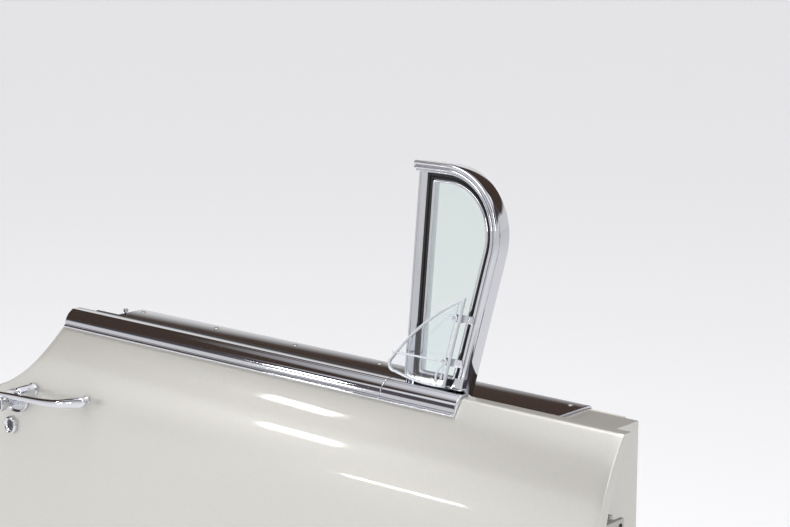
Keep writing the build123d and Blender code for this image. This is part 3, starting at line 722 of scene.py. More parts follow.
# Quarter-window frame
# A chromed brass frame, cast with two rounded ribs and an inner lip, and bent round the window's
# corner. Its leg goes down into the door through a flared foot on the moulding.
vent_top, vent_cap_x, vent_radius = 0.315, -0.364, 0.098
leg_belt_x, leg_slope = -0.2519, 0.206
frame_w, frame_in, frame_core_out = 0.015, 0.012, 0.0105
frame_foot, leg_foot = -0.060, 0.0052
flare, flare_rise, flare_corner = 0.0060, 0.016, 0.0022
flare_back, flare_front = 0.0060, 0.0192


def leg_x(level):
    """The leg's outer edge at a height up the glass."""
    return leg_belt_x + leg_slope * level


def frame_line(level):
    """The frame's outer edge from a height on the leg, round the corner, to the cap's end."""
    start, corner, end = (leg_x(level), level), (leg_x(vent_top), vent_top), (vent_cap_x, vent_top)
    return [start, *bend_at(start, corner, end, vent_radius, 28), end]


def glass_band(line, section, closed=False):
    """A bar or ring along a line in the glass plane, from its section (inwards, outwards)."""
    return band([
        [at_glass(*point, out) for point in shifted(line, inset, closed)] for inset, out in section
    ], closed)


ribs_section = [
    (0.0, 0.0085), (0.0, 0.0132),
    *arc_through((0.0003, 0.0142), (0.0030, 0.0186), (0.0058, 0.0156), 8),
    (0.0061, 0.0150), (0.0066, 0.0150),
    *arc_through((0.0069, 0.0158), (0.0092, 0.0182), (0.0113, 0.0150), 8), (0.0116, 0.0124),
    *arc_through((0.0119, 0.0119), (0.0136, 0.0128), (0.0148, 0.0112), 6), (0.0150, 0.0085),
]
core_section = [
    (0.0002, -frame_in), (0.0, -frame_in + 0.0004), (0.0, frame_core_out),
    (frame_w, frame_core_out), (frame_w, -frame_in + 0.0008), (frame_w - 0.0006, -frame_in),
]
vent_frame = add_piece("quarter_frame", joined(
    glass_band(frame_line(leg_foot), ribs_section), glass_band(frame_line(frame_foot), core_section),
), polished_chrome, smooth=30)
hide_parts("vent_frame")
rings = []
for width, height in rounding(1.0, 8):
    reach = flare * width + 0.0003
    level = leg_foot - 0.0004 + flare_rise * height
    foot_outline = box_outline(
        (leg_x(level) - frame_w - reach * 1.5, flare_back),
        (leg_x(level) + reach * 0.4, flare_front + reach * 0.3), flare_corner + reach * 0.5,
    )
    rings.append([at_glass(x, level, out) for x, out in foot_outline])
frame_flare = add_piece("frame_foot", lofted(rings), polished_chrome, smooth=40)

# Quarter-window sill
# A chromed zinc casting under the quarter window, which leans with the glass. It is screwed down
# between the post and the frame's leg.
sill_top, sill_height, sill_half = 0.0057, 0.024, 0.0105
sill_foot = sill_top - sill_height
sill_left, leg_lap = bar_right + 0.0003, frame_w + 0.0006
sill_outline = [
    (sill_left, sill_foot), (leg_x(sill_foot) - leg_lap, sill_foot),
    (leg_x(sill_top) - leg_lap, sill_top), (sill_left, sill_top),
]
sill = add_piece(
    "window_sill", glass_plate(sill_outline, -sill_half, 2 * sill_half, 0.001), polished_chrome
)
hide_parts("vent_sill")

# Quarter-window seal, sash and pane
# The pane swings in a thin chromed sash, which shuts against a broad black rubber seal with two
# lips. The seal is pressed into the frame.
seal_w, sash_w = 0.008, 0.0045
seal_edge = frame_w + 0.0003
sash_edge = seal_edge + seal_w + 0.0003
pane_edge = sash_edge + sash_w - 0.003
seal_corner, sash_corner = 0.006, 0.005
pane_t = 0.005


def vent_outline(edge, corner):
    """The quarter window's outline, drawn in from the frame's outer edge."""
    left_x, foot_level, top_level = bar_right + edge - frame_w, sill_top + edge - frame_w, vent_top - edge
    shift = edge * sqrt(1 + leg_slope**2)
    return rounded([
        (left_x, foot_level, corner), (leg_x(foot_level) - shift, foot_level, corner),
        (leg_x(top_level) - shift, top_level, vent_radius - edge), (left_x, top_level, corner),
    ], 20)


seal_section = [
    (0.0, -0.0060), (seal_w, -0.0060), (seal_w, 0.0046),
    *arc_through((0.0078, 0.0062), (0.0066, 0.0071), (0.0054, 0.0060), 5),
    (0.0047, 0.0050), (0.0034, 0.0050),
    *arc_through((0.0029, 0.0064), (0.0016, 0.0082), (0.0002, 0.0070), 6),
]
sash_section = [
    (0.0, -0.0062), (0.0010, -0.0070), (0.0036, -0.0070), (sash_w, -0.0060),
    *arc_through((sash_w, 0.0052), (0.0026, 0.0072), (0.0, 0.0062), 8),
]
seal_ring = glass_band(vent_outline(seal_edge, seal_corner), seal_section, True)
seal = add_piece("window_seal", seal_ring, black_rubber)
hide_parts("vent_seal")
sash_ring = glass_band(vent_outline(sash_edge, sash_corner), sash_section, True)
sash = add_piece("window_sash", sash_ring, polished_chrome)
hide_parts("vent_sash")
quarter_shape = glass_plate(vent_outline(pane_edge, sash_corner), -pane_t / 2, pane_t, 0.0006)
quarter_pane = add_piece("quarter_pane", quarter_shape, safety_glass)
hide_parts("vent_glass")

# Wind deflector
# A clear acrylic plate outside the quarter window, moulded with a thick polished rim, two ribs
# that end in ringed bosses, and a curved line at its foot. Two chromed tabs hold it to the leg.
clear_acrylic = finish("clear_acrylic", (0.96, 0.98, 1.0), 0.02, Transmission_Weight=1.0, IOR=1.49)
# The rim, ribs and bosses are whitish and only partly clear: painted highlight for the bright glints along
# their edges.
painted_glint_acrylic = finish("painted_glint_acrylic", (0.90, 0.93, 0.97), 0.08, Transmission_Weight=0.30, IOR=1.49)
deflector_out, deflector_t = 0.0211, 0.004
deflector_rim, deflector_rim_t = 0.0035, 0.007
deflector_setback, deflector_foot, deflector_top = 0.025, 0.005, 0.136
deflector_belly = [(-0.330, 0.0055), (-0.366, 0.012)]
deflector_tail = [(-0.380, 0.022), (-0.375, 0.034)]
deflector_back = (-0.326, 0.086)
rib_rows = [(0.042, 0.096), (0.105, 0.024)]  # height up the glass, length
rib_t, rib_w, rib_end_x = 0.0022, 0.0030, -0.3735
land_t, land_w, land_setback = 0.0014, 0.0018, 0.0095
boss_setback, boss_r, boss_hollow_r = 0.010, 0.005, 0.0034
boss_head, clip_screw = (0.0030, 0.0018), (0.0026, 0.0014)
clip_t, clip_half, clip_lap, clip_length = 0.0015, 0.0055, 0.012, 0.030
clip_screw_inset = 0.0065
face_out = deflector_out + deflector_t
out_of_glass = (0, -cos(glass_lean), sin(glass_lean))


def deflector_front(level):
    """The deflector's front edge at a height up the glass."""
    return leg_x(level) - deflector_setback


def ridge(line, width, height):
    """A low rounded rib that follows an open line on the deflector's face."""
    return glass_band(line, [
        (width / 2 * cos(turn), face_out + height * sin(turn) - 0.0002) for turn in evenly(0, pi, 6)
    ])


front_top, front_foot = ((deflector_front(up), up) for up in (deflector_top, deflector_foot))
edge_line = wound([
    front_top, front_foot, *arc_through(front_foot, *deflector_belly, 10)[1:],
    *arc_through(deflector_belly[1], *deflector_tail, 8)[1:],
    *arc_through(deflector_tail[1], deflector_back, front_top, 24)[1:-1],
])
deflector = add_piece("deflector_plate", glass_plate(
    shifted(edge_line, deflector_rim * 0.9), deflector_out, deflector_t, 0.0003
), clear_acrylic)
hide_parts("wind_deflector")
rim_section = [
    (deflector_rim / 2 * (1 - x), deflector_out + deflector_rim_t / 2 * (1 + y))
    for x, y in circle(12)
]
boss_ring = [
    *near(boss_r, 0.0, (0.0, 0.0), (0.0, 0.0016), (-0.0006, 0.0022)),
    *near(boss_hollow_r, 0.0, (0.0004, 0.0022), (0.0, 0.0014), (0.0, 0.0003)),
]
moulded, tab_shapes = [glass_band(edge_line, rim_section, True)], []
for level, length in rib_rows:
    boss_x, clip_x = deflector_front(level) - boss_setback, deflector_front(level) - clip_lap
    rib_line = [(max(boss_x - length, rib_end_x), level - 0.001), (boss_x - boss_r, level)]
    boss_at = at_glass(boss_x, level, face_out)
    moulded += [ridge(rib_line, rib_w, rib_t), turned(boss_ring, boss_at, out_of_glass)]
    clip = box_outline((clip_x, level - clip_half), (clip_x + clip_length, level + clip_half), 0.002)
    screw_at = at_glass(clip_x + clip_length - clip_screw_inset, level, deflector_out - 0.0003)
    tab_shapes += [
        glass_plate(clip, deflector_out - 0.0003 - clip_t, clip_t, 0.0004),
        turned(domed(*clip_screw), screw_at, out_of_glass, 24),
        turned(domed(*boss_head), boss_at, out_of_glass, 24),
    ]
low_level = rib_rows[0][0]
low_x = deflector_front(low_level) - boss_setback
sweep_line = arc_through(
    (low_x - 0.002, low_level - boss_r), (low_x - 0.012, 0.024),
    (low_x - 0.013, deflector_foot + 0.004), 10,
)
land_line = [(deflector_front(level) - land_setback, level) for level in (0.010, 0.126)]
moulded += [ridge(sweep_line, rib_w, rib_t), ridge(land_line, land_w, land_t)]
rim = add_piece("deflector_rim", joined(*moulded), painted_glint_acrylic, smooth=50)
tabs = add_piece("deflector_tabs", joined(*tab_shapes), polished_chrome)
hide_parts("deflector_clips")

# Outside handle
# A chromed die-cast bar that swells to a rounded front end. It stands on a foot there, on a stout
# round stem, and on the housing of the push button.
handle_x, handle_z, handle_out = rear_x + 0.142, 0.018, 0.094
grip_rise, grip_slope = 0.0155, tan(radians(5.0))
grip_table = [  # distance in front of the button, outwards, height, depth
    (-0.014, 0.0940, 0.0092, 0.0072), (0.040, 0.0950, 0.0098, 0.0076),
    (0.086, 0.0950, 0.0106, 0.0082), (0.146, 0.0900, 0.0138, 0.0098),
    (0.178, 0.0806, 0.0166, 0.0125), (0.195, 0.0740, 0.0178, 0.0145),
]
grip_sag = [  # distance in front of the button, how far the bar hangs there
    (0.010, 0.0), (0.070, 0.0016), (0.120, 0.0040), (0.145, 0.0038), (0.178, 0.0016),
    (0.195, 0.0006),
]
grip_nose, grip_round = 0.003, 0.0095
grip_fullness = (0.80, 0.90)
foot_at, foot_r = 0.174, 0.0065
stem_x, stem_z, stem_r = handle_x + 0.040, handle_z + 0.022, 0.0108
housing_r, housing_wall, neck_r = 0.0135, 0.0030, 0.0092
housing_out = handle_out + 0.007


def eased(table, at):
    """A row of values read from a table at a distance, smooth from row to row."""
    rows = [table[0], *table, table[-1]]
    for a, b, c, d in zip(rows, rows[1:], rows[2:], rows[3:]):
        if at <= c[0] or c is table[-1]:
            share = min(1.0, max(0.0, (at - b[0]) / (c[0] - b[0])))
            return [
                0.5 * (
                    2 * q + (r - p) * share + (2 * p - 5 * q + 4 * r - s) * share**2
                    + (3 * q - p - 3 * r + s) * share**3
                )
                for p, q, r, s in zip(a, b, c, d)
            ]


def grip_z(at):
    """The bar's height at a distance in front of the button. It sags a little before its foot."""
    return handle_z + grip_rise + grip_slope * at - eased(grip_sag, at)[1]


def from_skin(x, z, profile, count=40):
    """A turned piece whose profile is (radius, distance out from the belt line)."""
    return turned(profile, (x, belt_y, z), (0, -1, 0), count)


def skin_out(z):
    """How far out of the belt line the skin stands at a height, with a hair to spare."""
    return belt_y - skin_y(z) + 0.0005


grip_rear, grip_front = grip_table[0][0], grip_table[-1][0]
stations = [(grip_rear + grip_nose * (1 - cos(a)), sin(a)) for a in evenly(0, pi / 2, 5)[:-1]]
stations += [(at, 1.0) for at in evenly(grip_rear + grip_nose, grip_front - grip_round, 48)]
stations += [(grip_front - grip_round * (1 - sin(a)), cos(a)) for a in evenly(0, pi / 2, 10)[1:]]
rings = []
for at, share in stations:
    out, height, depth = eased(grip_table, at)[1:]
    share = max(share, 0.02)
    rings.append([(
        handle_x + at,
        belt_y - out + depth / 2 * copysign(abs(x) ** grip_fullness[0], x) * share,
        grip_z(at) + height / 2 * copysign(abs(y) ** grip_fullness[1], y) * share,
    ) for x, y in circle(28)])
foot_root, foot_tip = skin_out(grip_z(foot_at)), eased(grip_table, foot_at)[1] - 0.003
foot_profile = near(foot_r, foot_root, (0.0006, 0.0), (0.0006, 0.0008), (-0.0002, 0.0014))
foot_profile += near(foot_r, foot_tip, (-0.0006, 0.0))
stem_root, stem_tip = skin_out(stem_z), handle_out - 0.003
stem_profile = [
    *near(stem_r, stem_root, (0.0010, 0.0), (0.0010, 0.0026), (0.0002, 0.0034), (0.0, 0.0060)),
    *near(stem_r, stem_tip, (-0.0006, -0.0040), (-0.0016, -0.0018), (-0.0036, -0.0004)),
    (0.0, stem_tip),
]
housing_root = skin_out(handle_z) + 0.0028
housing_profile = [
    *near(neck_r, housing_root, (0.0014, 0.0), (0.0004, 0.0012), (0.0, 0.0040)),
    *near(neck_r, housing_out, (0.0, -0.0200), (0.0010, -0.0170)),
    *near(
        housing_r, housing_out, (-0.0010, -0.0140), (0.0, -0.0120), (0.0, -0.0016),
        (-0.0005, -0.0005), (-0.0014, 0.0), (-0.0024, -0.0005), (-housing_wall, -0.0014),
        (-housing_wall, -0.0060),
    ),
]
handle = add_piece("door_handle", joined(
    lofted(rings), from_skin(handle_x + foot_at, grip_z(foot_at), foot_profile),
    from_skin(stem_x, stem_z, stem_profile, 48), from_skin(handle_x, handle_z, housing_profile, 56),
), polished_chrome, smooth=45)
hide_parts("outer_handle")

# Push button
# A turned and chromed button with a dished rim and a low dome. The thumb pushes it into the
# handle's housing.
button_r, button_out = 0.0092, housing_out + 0.005
button_profile = [
    (button_r, housing_out - 0.0055),
    *near(
        button_r, button_out, (0.0, -0.0014), (-0.0005, -0.0005), (-0.0014, -0.0002),
        (-0.0024, -0.0008), (-0.0040, -0.0004), (-0.0065, 0.0),
    ),
    (0.0, button_out + 0.0001),
]
button_shape = from_skin(handle_x, handle_z, button_profile, 48)
button = add_piece("thumb_button", button_shape, polished_chrome, smooth=50)
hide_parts("push_button")

# Dished plate
# A pressed and chromed oval dish under the housing, with a rolled rim. It keeps fingernails off
# the paint.
dish_z, dish_wide, dish_tall = handle_z - 0.002, 0.031, 0.019
dish_section = [  # share of the way out from the middle, height above the skin
    (1.0, 0.0004), (1.0, 0.0034), (0.985, 0.0052), (0.950, 0.0060), (0.915, 0.0055),
    (0.880, 0.0042), (0.820, 0.0032), (0.720, 0.0028), (0.45, 0.0026), (0.0, 0.0026),
]
dish = add_piece("handle_plate", lofted([
    on_skin(near(handle_x, dish_z, *(
        (dish_wide * share * x, dish_tall * share * y) for x, y in circle(64)
    )), -out)
    for share, out in dish_section
]), polished_chrome, smooth=60)
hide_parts("handle_escutcheon")

# Lock
# A chromed brass ring, turned, round a sunk steel barrel with a key slot. It goes through the skin
# and is held from inside.
# The barrel's steel is made very dark: painted shade for the sunk, unlit centre of the lock.
shade_darkened_steel = finish(
    "shade_darkened_steel", (0.12, 0.115, 0.11), 0.38, (160.0, 0.3, 0.2), Metallic=1.0
)
lock_x, lock_z = handle_x - 0.015, -0.029
lock_r, lock_root, lock_out = 0.0148, 0.0603, 0.067
barrel_r, barrel_out = 0.0084, lock_out - 0.0056
key_half = (0.0011, 0.0046)
lock_profile = [
    (lock_r, lock_root),
    *near(lock_r, lock_out, (0.0, -0.0026), (-0.0010, -0.0008), (-0.0024, 0.0), (-0.0040, -0.0006)),
    (barrel_r + 0.0005, barrel_out),
]
barrel_profile = near(barrel_r, barrel_out, (0.0, 0.0), (0.0, 0.0004), (-0.0006, 0.0008))
key_outline = box_outline(*near(lock_x, lock_z, (-key_half[0], -key_half[1]), key_half), 0.0005)


def on_barrel(points, height):
    """Outline points (x, z) on the barrel's face, raised out of it."""
    return [(x, belt_y - barrel_out - 0.0007 - height, z) for x, z in points]


lock_shape = from_skin(lock_x, lock_z, lock_profile, 48)
lock = add_piece("door_lock", lock_shape, polished_chrome, smooth=50)
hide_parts("lock_cylinder")
barrel = add_piece("lock_barrel", from_skin(lock_x, lock_z, barrel_profile), shade_darkened_steel)
# The key slot is a thin black plate on the barrel's face, not a cut: painted shade for the slot's opening.
painted_keyhole_shade = add_piece("painted_keyhole_shade", slab(key_outline, on_barrel, 0.0003, 0.0001), black_rubber)

# Upper trim
# A fibreboard covered with thin foam and cream vinyl, clipped to the pan. The vinyl rolls over
# the board's edges, and a sewn seam runs along it near its head and its foot.
grain, given, place, out = new_group(
    "hide_grain", {"Colour": "Color", "Height": "Float"},
    Colour=(0.66, 0.62, 0.53, 1), Size=900.0, Crease=0.16,
)
pebbles = put(
    grain, "ShaderNodeTexVoronoi", {"Vector": place, "Scale": given["Size"]}, feature="SMOOTH_F1"
)
fold_size = maths(grain, "MULTIPLY", given["Size"], 0.22)
folds = put(grain, "ShaderNodeTexNoise", {"Vector": place, "Scale": fold_size, "Detail": 3.0})
# The colour is made darker in the grain's hollows, by the amount Crease: painted shade.
hollow = maths(grain, "MULTIPLY", pebbles.outputs["Distance"], 0.7)
hollow_shade = maths(grain, "MULTIPLY", hollow, given["Crease"])
send(
    grain, out, Colour=toned(grain, given["Colour"], maths(grain, "SUBTRACT", 1.0, hollow_shade)),
    Height=maths(grain, "SUBTRACT", folds.outputs["Fac"], hollow),
)
cream_vinyl = through(
    grain,
    finish(
        "cream_vinyl", (0.66, 0.625, 0.54), 0.42, (7.0, 0.07, 0.10),
        Coat_Weight=0.10, Coat_Roughness=0.35,
    ),
    {"Size": 850.0, "Crease": 0.20}, (0.35, 0.0006),
)
pan_y = belt_y + 0.113
board_y, board_t = pan_y + 0.0003, 0.010
trim_face_y = board_y + board_t
trim_inset, trim_front_x = 0.034, -0.050
trim_foot_z = bottom_z + trim_inset
straight_from_x = -1.0  # ahead of it the trim has no edge nearer than its foot and its head
bead_z = (0.010, 0.022)
upper_trim_z = (bead_z[1] + 0.0003, tray_top_z - 0.0003)
vinyl_roll = 0.0045
cover_tip = 0.004  # the cover's height at its rear tip
seam_levels, seam_depth, seam_half = (0.036, 0.117), 0.0024, 0.0022
stitch_pitch, stitch_length, stitch_r, stitch_offset = 0.0046, 0.0034, 0.00038, 0.0036
trim_rear = shifted(left, trim_inset, False)
trim_corner = arc_from(
    (trim_front_x - front_corner_radius, trim_foot_z), (1, 0),
    (trim_front_x, trim_foot_z + front_corner_radius), 10,
)
trim_line = [Vector(point) for point in trim_rear + trim_corner + [(trim_front_x, belt_z)]]


def trim_reach(x):
    """The lowest and the highest that the trim reaches at a distance along the door."""
    low = trim_foot_z
    corners = [
        (front_corner_radius, x - (trim_front_x - front_corner_radius)),
        (rear_corner_radius - trim_inset, rear_x + rear_corner_radius - x),
    ]
    for radius, past in corners:
        if past > 0:
            low += radius - sqrt(max(0.0, radius**2 - past**2))
    for (x1, z1), (x2, z2) in zip(trim_rear, trim_rear[1:]):
        if x2 <= x < x1:
            return low, z1 + (z2 - z1) * (x1 - x) / (x1 - x2)
    return low, belt_z


def rear_end(z):
    """How far to the rear the trim reaches at a height."""
    for (x1, z1), (x2, z2) in zip(trim_rear, trim_rear[1:]):
        if z2 <= z <= z1 and z1 > z2:
            return x1 + (x2 - x1) * (z1 - z) / (z1 - z2)


def edge_gap(x, z, enough):
    """The distance to the trim's outline, or enough where it is further."""
    clear_of_corners = straight_from_x < x < trim_front_x - 2 * enough
    if clear_of_corners and trim_reach(x + enough)[1] > z + enough:
        return min(enough, z - trim_foot_z)
    here = Vector((x, z))
    gap = enough
    for a, b in zip(trim_line, trim_line[1:]):
        run = b - a
        share = min(1.0, max(0.0, (here - a).dot(run) / max(run.length_squared, 1e-12)))
        gap = min(gap, (here - a - run * share).length)
    return gap


def spread(low, high, roll, count):
    """Positions from low to high, close together at both ends, in count even steps between."""
    roll = min(roll, (high - low) / 2.5)
    ends = [end for _, end in rounding(roll, 5)[:-1]]
    middle = evenly(low + roll, high - roll, count)
    return [low + end for end in ends] + middle + [high - end for end in ends[::-1]]


def covered_board(low_z, high_z, columns, rows, roll, swell):
    """A covered board: the trim's outline between two heights, with its edges rolled over. The
    face lies at swell(x, z) from the trim's face."""
    rings = []
    for x in columns:
        low, high = trim_reach(x)
        low, high = max(low, low_z), min(high, high_z)
        rings.append([])
        for z in spread(low, max(low, high), roll, rows):
            gap = min(z - low_z, high_z - z, edge_gap(x, z, roll))
            short = 1 - min(1.0, max(0.0, gap / roll))
            fall = roll * (1 - sqrt(1 - short**2))
            rings[-1].append((x, trim_face_y - fall + swell(x, z) * (1 - short), z))
    vertices, faces = lofted(rings, closed=False, caps=False)
    size, base = len(rings[0]), len(vertices)
    last = base - size
    border = [*range(0, last, size), *range(last, base)]
    border += [*range(last - 1, 0, -size), *range(size - 2, 0, -1)]
    vertices += [(vertices[i][0], board_y, vertices[i][2]) for i in border]
    for k, here in enumerate(border):
        j = (k + 1) % len(border)
        faces.append((here, border[j], base + j, base + k))
    faces.append(tuple(range(base, base + len(border))))
    return vertices, faces


def waver(x, z, size, amount, layer=0.3):
    """A slow unevenness of a hand-fitted cover."""
    return noise.noise(Vector((x / size, layer, z / size))) * amount


def upper_swell(x, z):
    """The vinyl's face: drawn in at the seams and slightly uneven between them."""
    drawn = sum(exp(-(((z - level) / seam_half) ** 2)) for level in seam_levels)
    return -seam_depth * drawn - 0.0003 + waver(x, z, 0.05, 0.0003)


def stitch(centre, along, out):
    """One stitch of thread: a short bow that dips into the cover at both ends."""
    centre, along, out = Vector(centre), Vector(along), Vector(out)
    side = along.cross(out)
    rings = []
    for share in evenly(0, 1, 5):
        bow = sin(pi * share)
        middle = centre + along * stitch_length * (share - 0.5) + out * stitch_r * (1.5 * bow - 0.8)
        thick = stitch_r * (0.45 + 0.55 * bow)
        rings.append([middle + (side * x + out * y) * thick for x, y in circle(6)])
    return lofted(rings)


columns = spread(rear_end(upper_trim_z[0] + cover_tip), trim_front_x, vinyl_roll, 230)
upper_shape = covered_board(*upper_trim_z, columns, 78, vinyl_roll, upper_swell)
upper_trim = add_piece("upper_trim_cover", upper_shape, cream_vinyl, smooth=60)
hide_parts("upper_trim")
stitches = []
for level in seam_levels:
    for z in (level - stitch_offset, level + stitch_offset):
        x = rear_end(z) + 0.012
        while x < trim_front_x - 0.010:
            spot = (x, trim_face_y + upper_swell(x, z), z)
            stitches.append(stitch(spot, (1, 0, 0), (0, 1, 0)))
            x += stitch_pitch
seam_thread = add_piece("seam_thread", joined(*stitches), cream_vinyl, smooth=60)

# Lower trim
# Black ribbed cloth over foam, sewn through to its board in upright channels. The padding swells
# between the seams.
weave, given, place, out = new_group(
    "cloth_weave", {"Colour": "Color", "Height": "Float"},
    Colour=(0.02, 0.02, 0.022, 1), Threads=900.0, Contrast=0.5,
)
axes = put(weave, "ShaderNodeSeparateXYZ", {0: place}).outputs
turns = maths(weave, "MULTIPLY", given["Threads"], 2 * pi)
warp = maths(weave, "SINE", maths(weave, "MULTIPLY", axes["X"], turns))
weft = maths(weave, "SINE", maths(weave, "MULTIPLY", axes["Z"], turns))
over = maths(weave, "ADD", maths(weave, "MULTIPLY", maths(weave, "MULTIPLY", warp, weft), 0.5), 0.5)
# The colour is lighter where the threads rise and darker where they dip, by the amount Contrast: painted
# light and shade.
thread_light_and_shade = about(weave, over, given["Contrast"])
send(weave, out, Colour=toned(weave, given["Colour"], thread_light_and_shade), Height=over)
black_cloth = through(
    weave,
    finish(
        "black_cloth", (0.020, 0.020, 0.022), 0.55, (14.0, 0.30, 0.12),
        Sheen_Weight=0.10, Sheen_Roughness=0.4,
    ),
    {"Threads": 420.0, "Contrast": 0.9}, (0.6, 0.0006),
)
kick_z = (bottom_z + 0.038, bottom_z + 0.140)
lower_trim_z = (kick_z[1] + 0.0003, bead_z[0] - 0.0003)
channel_pitch, channel_depth, cloth_roll = 0.038, 0.0046, 0.0035
channel_count = int((trim_front_x - rear_x) / channel_pitch)
first_seam = (rear_x + trim_front_x) / 2 - (channel_count - 1) / 2 * channel_pitch
beside_seam = (-0.0150, -0.0105, -0.0065, -0.0035, -0.0016, -0.0006)


def lower_swell(x, z):
    """The cloth's face: a rounded channel between each two seams."""
    share = abs(sin(pi * (x - first_seam) / channel_pitch))
    return -channel_depth * (1 - share**0.75) - 0.0002 + waver(x, z, 0.03, 0.0003)


rear = rear_end(lower_trim_z[0])
offsets = [*beside_seam, 0.0, *(-offset for offset in beside_seam[::-1]), channel_pitch / 2]
columns = [
    first_seam + k * channel_pitch + offset for k in range(-1, channel_count) for offset in offsets
]
columns = [x for x in columns if rear + cloth_roll < x < trim_front_x - cloth_roll]
ends = [end for _, end in rounding(cloth_roll, 5)]
columns = [rear + end for end in ends] + columns + [trim_front_x - end for end in ends[::-1]]
lower_shape = covered_board(*lower_trim_z, columns, 40, cloth_roll, lower_swell)
lower_trim = add_piece("lower_trim_cover", lower_shape, black_cloth, smooth=70)
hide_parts("lower_trim")

# Kick panel
# Short black cut-pile carpet along the foot of the door, with its edge bound in black vinyl that
# is sewn on.
pile, given, place, out = new_group(
    "carpet_pile", {"Colour": "Color", "Height": "Float"},
    Colour=(0.03, 0.03, 0.032, 1), Tufts=700.0, Spread=0.8,
)
tufts = put(pile, "ShaderNodeTexVoronoi", {"Vector": place, "Scale": given["Tufts"]}).outputs
grey = put(pile, "ShaderNodeSeparateColor", {"Color": tufts["Color"]}).outputs[0]
send(
    pile, out, Colour=toned(pile, given["Colour"], about(pile, grey, given["Spread"])),
    Height=maths(pile, "SUBTRACT", 1.0, tufts["Distance"]),
)
black_carpet = through(
    pile,
    finish(
        "black_carpet", (0.026, 0.026, 0.028), 0.92, (9.0, 0.35, 0.05),
        Sheen_Weight=0.25, Sheen_Roughness=0.5,
    ),
    {"Tufts": 620.0, "Spread": 1.1}, (0.9, 0.0012),
)
black_vinyl = through(
    grain, finish("black_vinyl", (0.028, 0.028, 0.030), 0.48, (12.0, 0.25, 0.12)),
    {"Size": 900.0, "Crease": 0.3}, (0.3, 0.0005),
)
binding_w, pile_roll = 0.0085, 0.004


def pile_swell(x, z):
    """The carpet's face: tufts that stand a little unevenly."""
    return -0.0024 + waver(x, z, 0.0035, 0.0005, 5.1) + waver(x, z, 0.04, 0.0005)


def trim_frame(outline, section, back_y):
    """A closed frame of one section (inwards, raised from back_y) round an outline (x, z)."""
    return band([
        [(x, back_y + up, z) for x, z in shifted(outline, inset)] for inset, up in section
    ])


columns = spread(rear_end(kick_z[1]), trim_front_x, pile_roll, 520)
kick_shape = covered_board(*kick_z, columns, 44, pile_roll, pile_swell)
kick_panel = add_piece("kick_carpet", kick_shape, black_carpet, smooth=70)
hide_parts("kick_panel")
kick_outline = wound(rounded([
    (rear, kick_z[1], 0.0), (rear, trim_foot_z, rear_corner_radius - trim_inset),
    (trim_front_x, trim_foot_z, front_corner_radius), (trim_front_x, kick_z[1], 0.0),
], 14))
kick_outline = [(x, max(z, kick_z[0])) for x, z in kick_outline]
binding_section = [
    (0.0006, 0.0), (0.0, board_t - 0.0030),
    *arc_through((0.0, board_t - 0.0016), (0.0012, board_t - 0.0003), (0.0030, board_t), 6),
    *arc_through(*near(
        binding_w, board_t, (-0.0020, 0.0), (-0.0004, -0.0008), (0.0, -0.0026)
    ), 5),
    (binding_w - 0.0010, 0.0),
]
binding_shape = trim_frame(kick_outline, binding_section, board_y)
binding = add_piece("kick_binding", binding_shape, black_vinyl, smooth=50)

# Trim bead
# A half-round bright strip, rolled from stainless sheet and pressed over the join between the
# cream and the black trim.
bead_crest_y, bead_crown = board_y + 0.013, 0.0040
bead_root_y = bead_crest_y - 0.0046
bead_half, bead_level = (bead_z[1] - bead_z[0]) / 2, (bead_z[0] + bead_z[1]) / 2
bead_section = [
    (board_y, bead_z[0] + 0.0004), (board_y, bead_z[1] - 0.0004), (bead_root_y, bead_z[1] - 0.0001),
    *(
        (bead_crest_y - bead_crown * (1 - cos(turn)), bead_level + bead_half * 0.92 * sin(turn))
        for turn in evenly(pi / 2, -pi / 2, 14)
    ),
    (bead_root_y, bead_z[0] + 0.0001),
]
bead_shape = rod(bead_section, rear_end(bead_level) + 0.0015, trim_front_x, 0.0012)
bead = add_piece("bright_bead", bead_shape, polished_chrome, smooth=50)
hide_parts("trim_bead")

# Inner garnish
# A bright rolled cap over the door's inner top edge, with two fine lines along its face. It is
# screwed down into the pan.
garnish_t, garnish_drop = 0.0045, 0.022
garnish_under = tray_top_z + 0.0003
garnish_top = garnish_under + garnish_t
garnish_rear_x, garnish_front_x = slot_rear_x, -0.110
garnish_slot_y, garnish_leg_y = belt_y + 0.0443, pan_y + board_t + 0.0006
garnish_face_y = garnish_leg_y + garnish_t
garnish_foot_z = garnish_top - garnish_drop - garnish_t
line_depth, line_half, line_rises = 0.0007, 0.0007, (0.0085, 0.0055)
garnish_screw, screw_setback, screw_xs = (0.0042, 0.0018), 0.024, (0.020, 0.900)
garnish_section = rounded([
    (garnish_slot_y, garnish_under, 0.0), (garnish_slot_y, garnish_top, 0.0018),
    (garnish_face_y, garnish_top, 0.0110), (garnish_face_y, garnish_foot_z, 0.0018),
    (garnish_leg_y, garnish_foot_z, 0.0), (garnish_leg_y, garnish_under, 0.0030),
], 10)
lined = []
for point in garnish_section:
    lined.append(point)
    if abs(point[0] - garnish_face_y) < 1e-6 and point[1] > garnish_foot_z + 0.01:
        for rise in line_rises:
            lined += near(
                garnish_face_y, garnish_foot_z + rise, (0.0, line_half), (-line_depth, 0.0),
                (0.0, -line_half),
            )
garnish_shape = rod(lined, garnish_rear_x, garnish_front_x, 0.0010)
garnish = add_piece("garnish_cap", garnish_shape, polished_chrome)
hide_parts("inner_garnish")
garnish_screws = add_piece("garnish_screws", joined(*(
    turned(domed(*garnish_screw), (x, garnish_face_y - screw_setback, garnish_top - 0.0002), (0, 0, 1), 24)
    for x in evenly(garnish_rear_x + screw_xs[0], garnish_rear_x + screw_xs[1], 5)
)), zinc_steel)

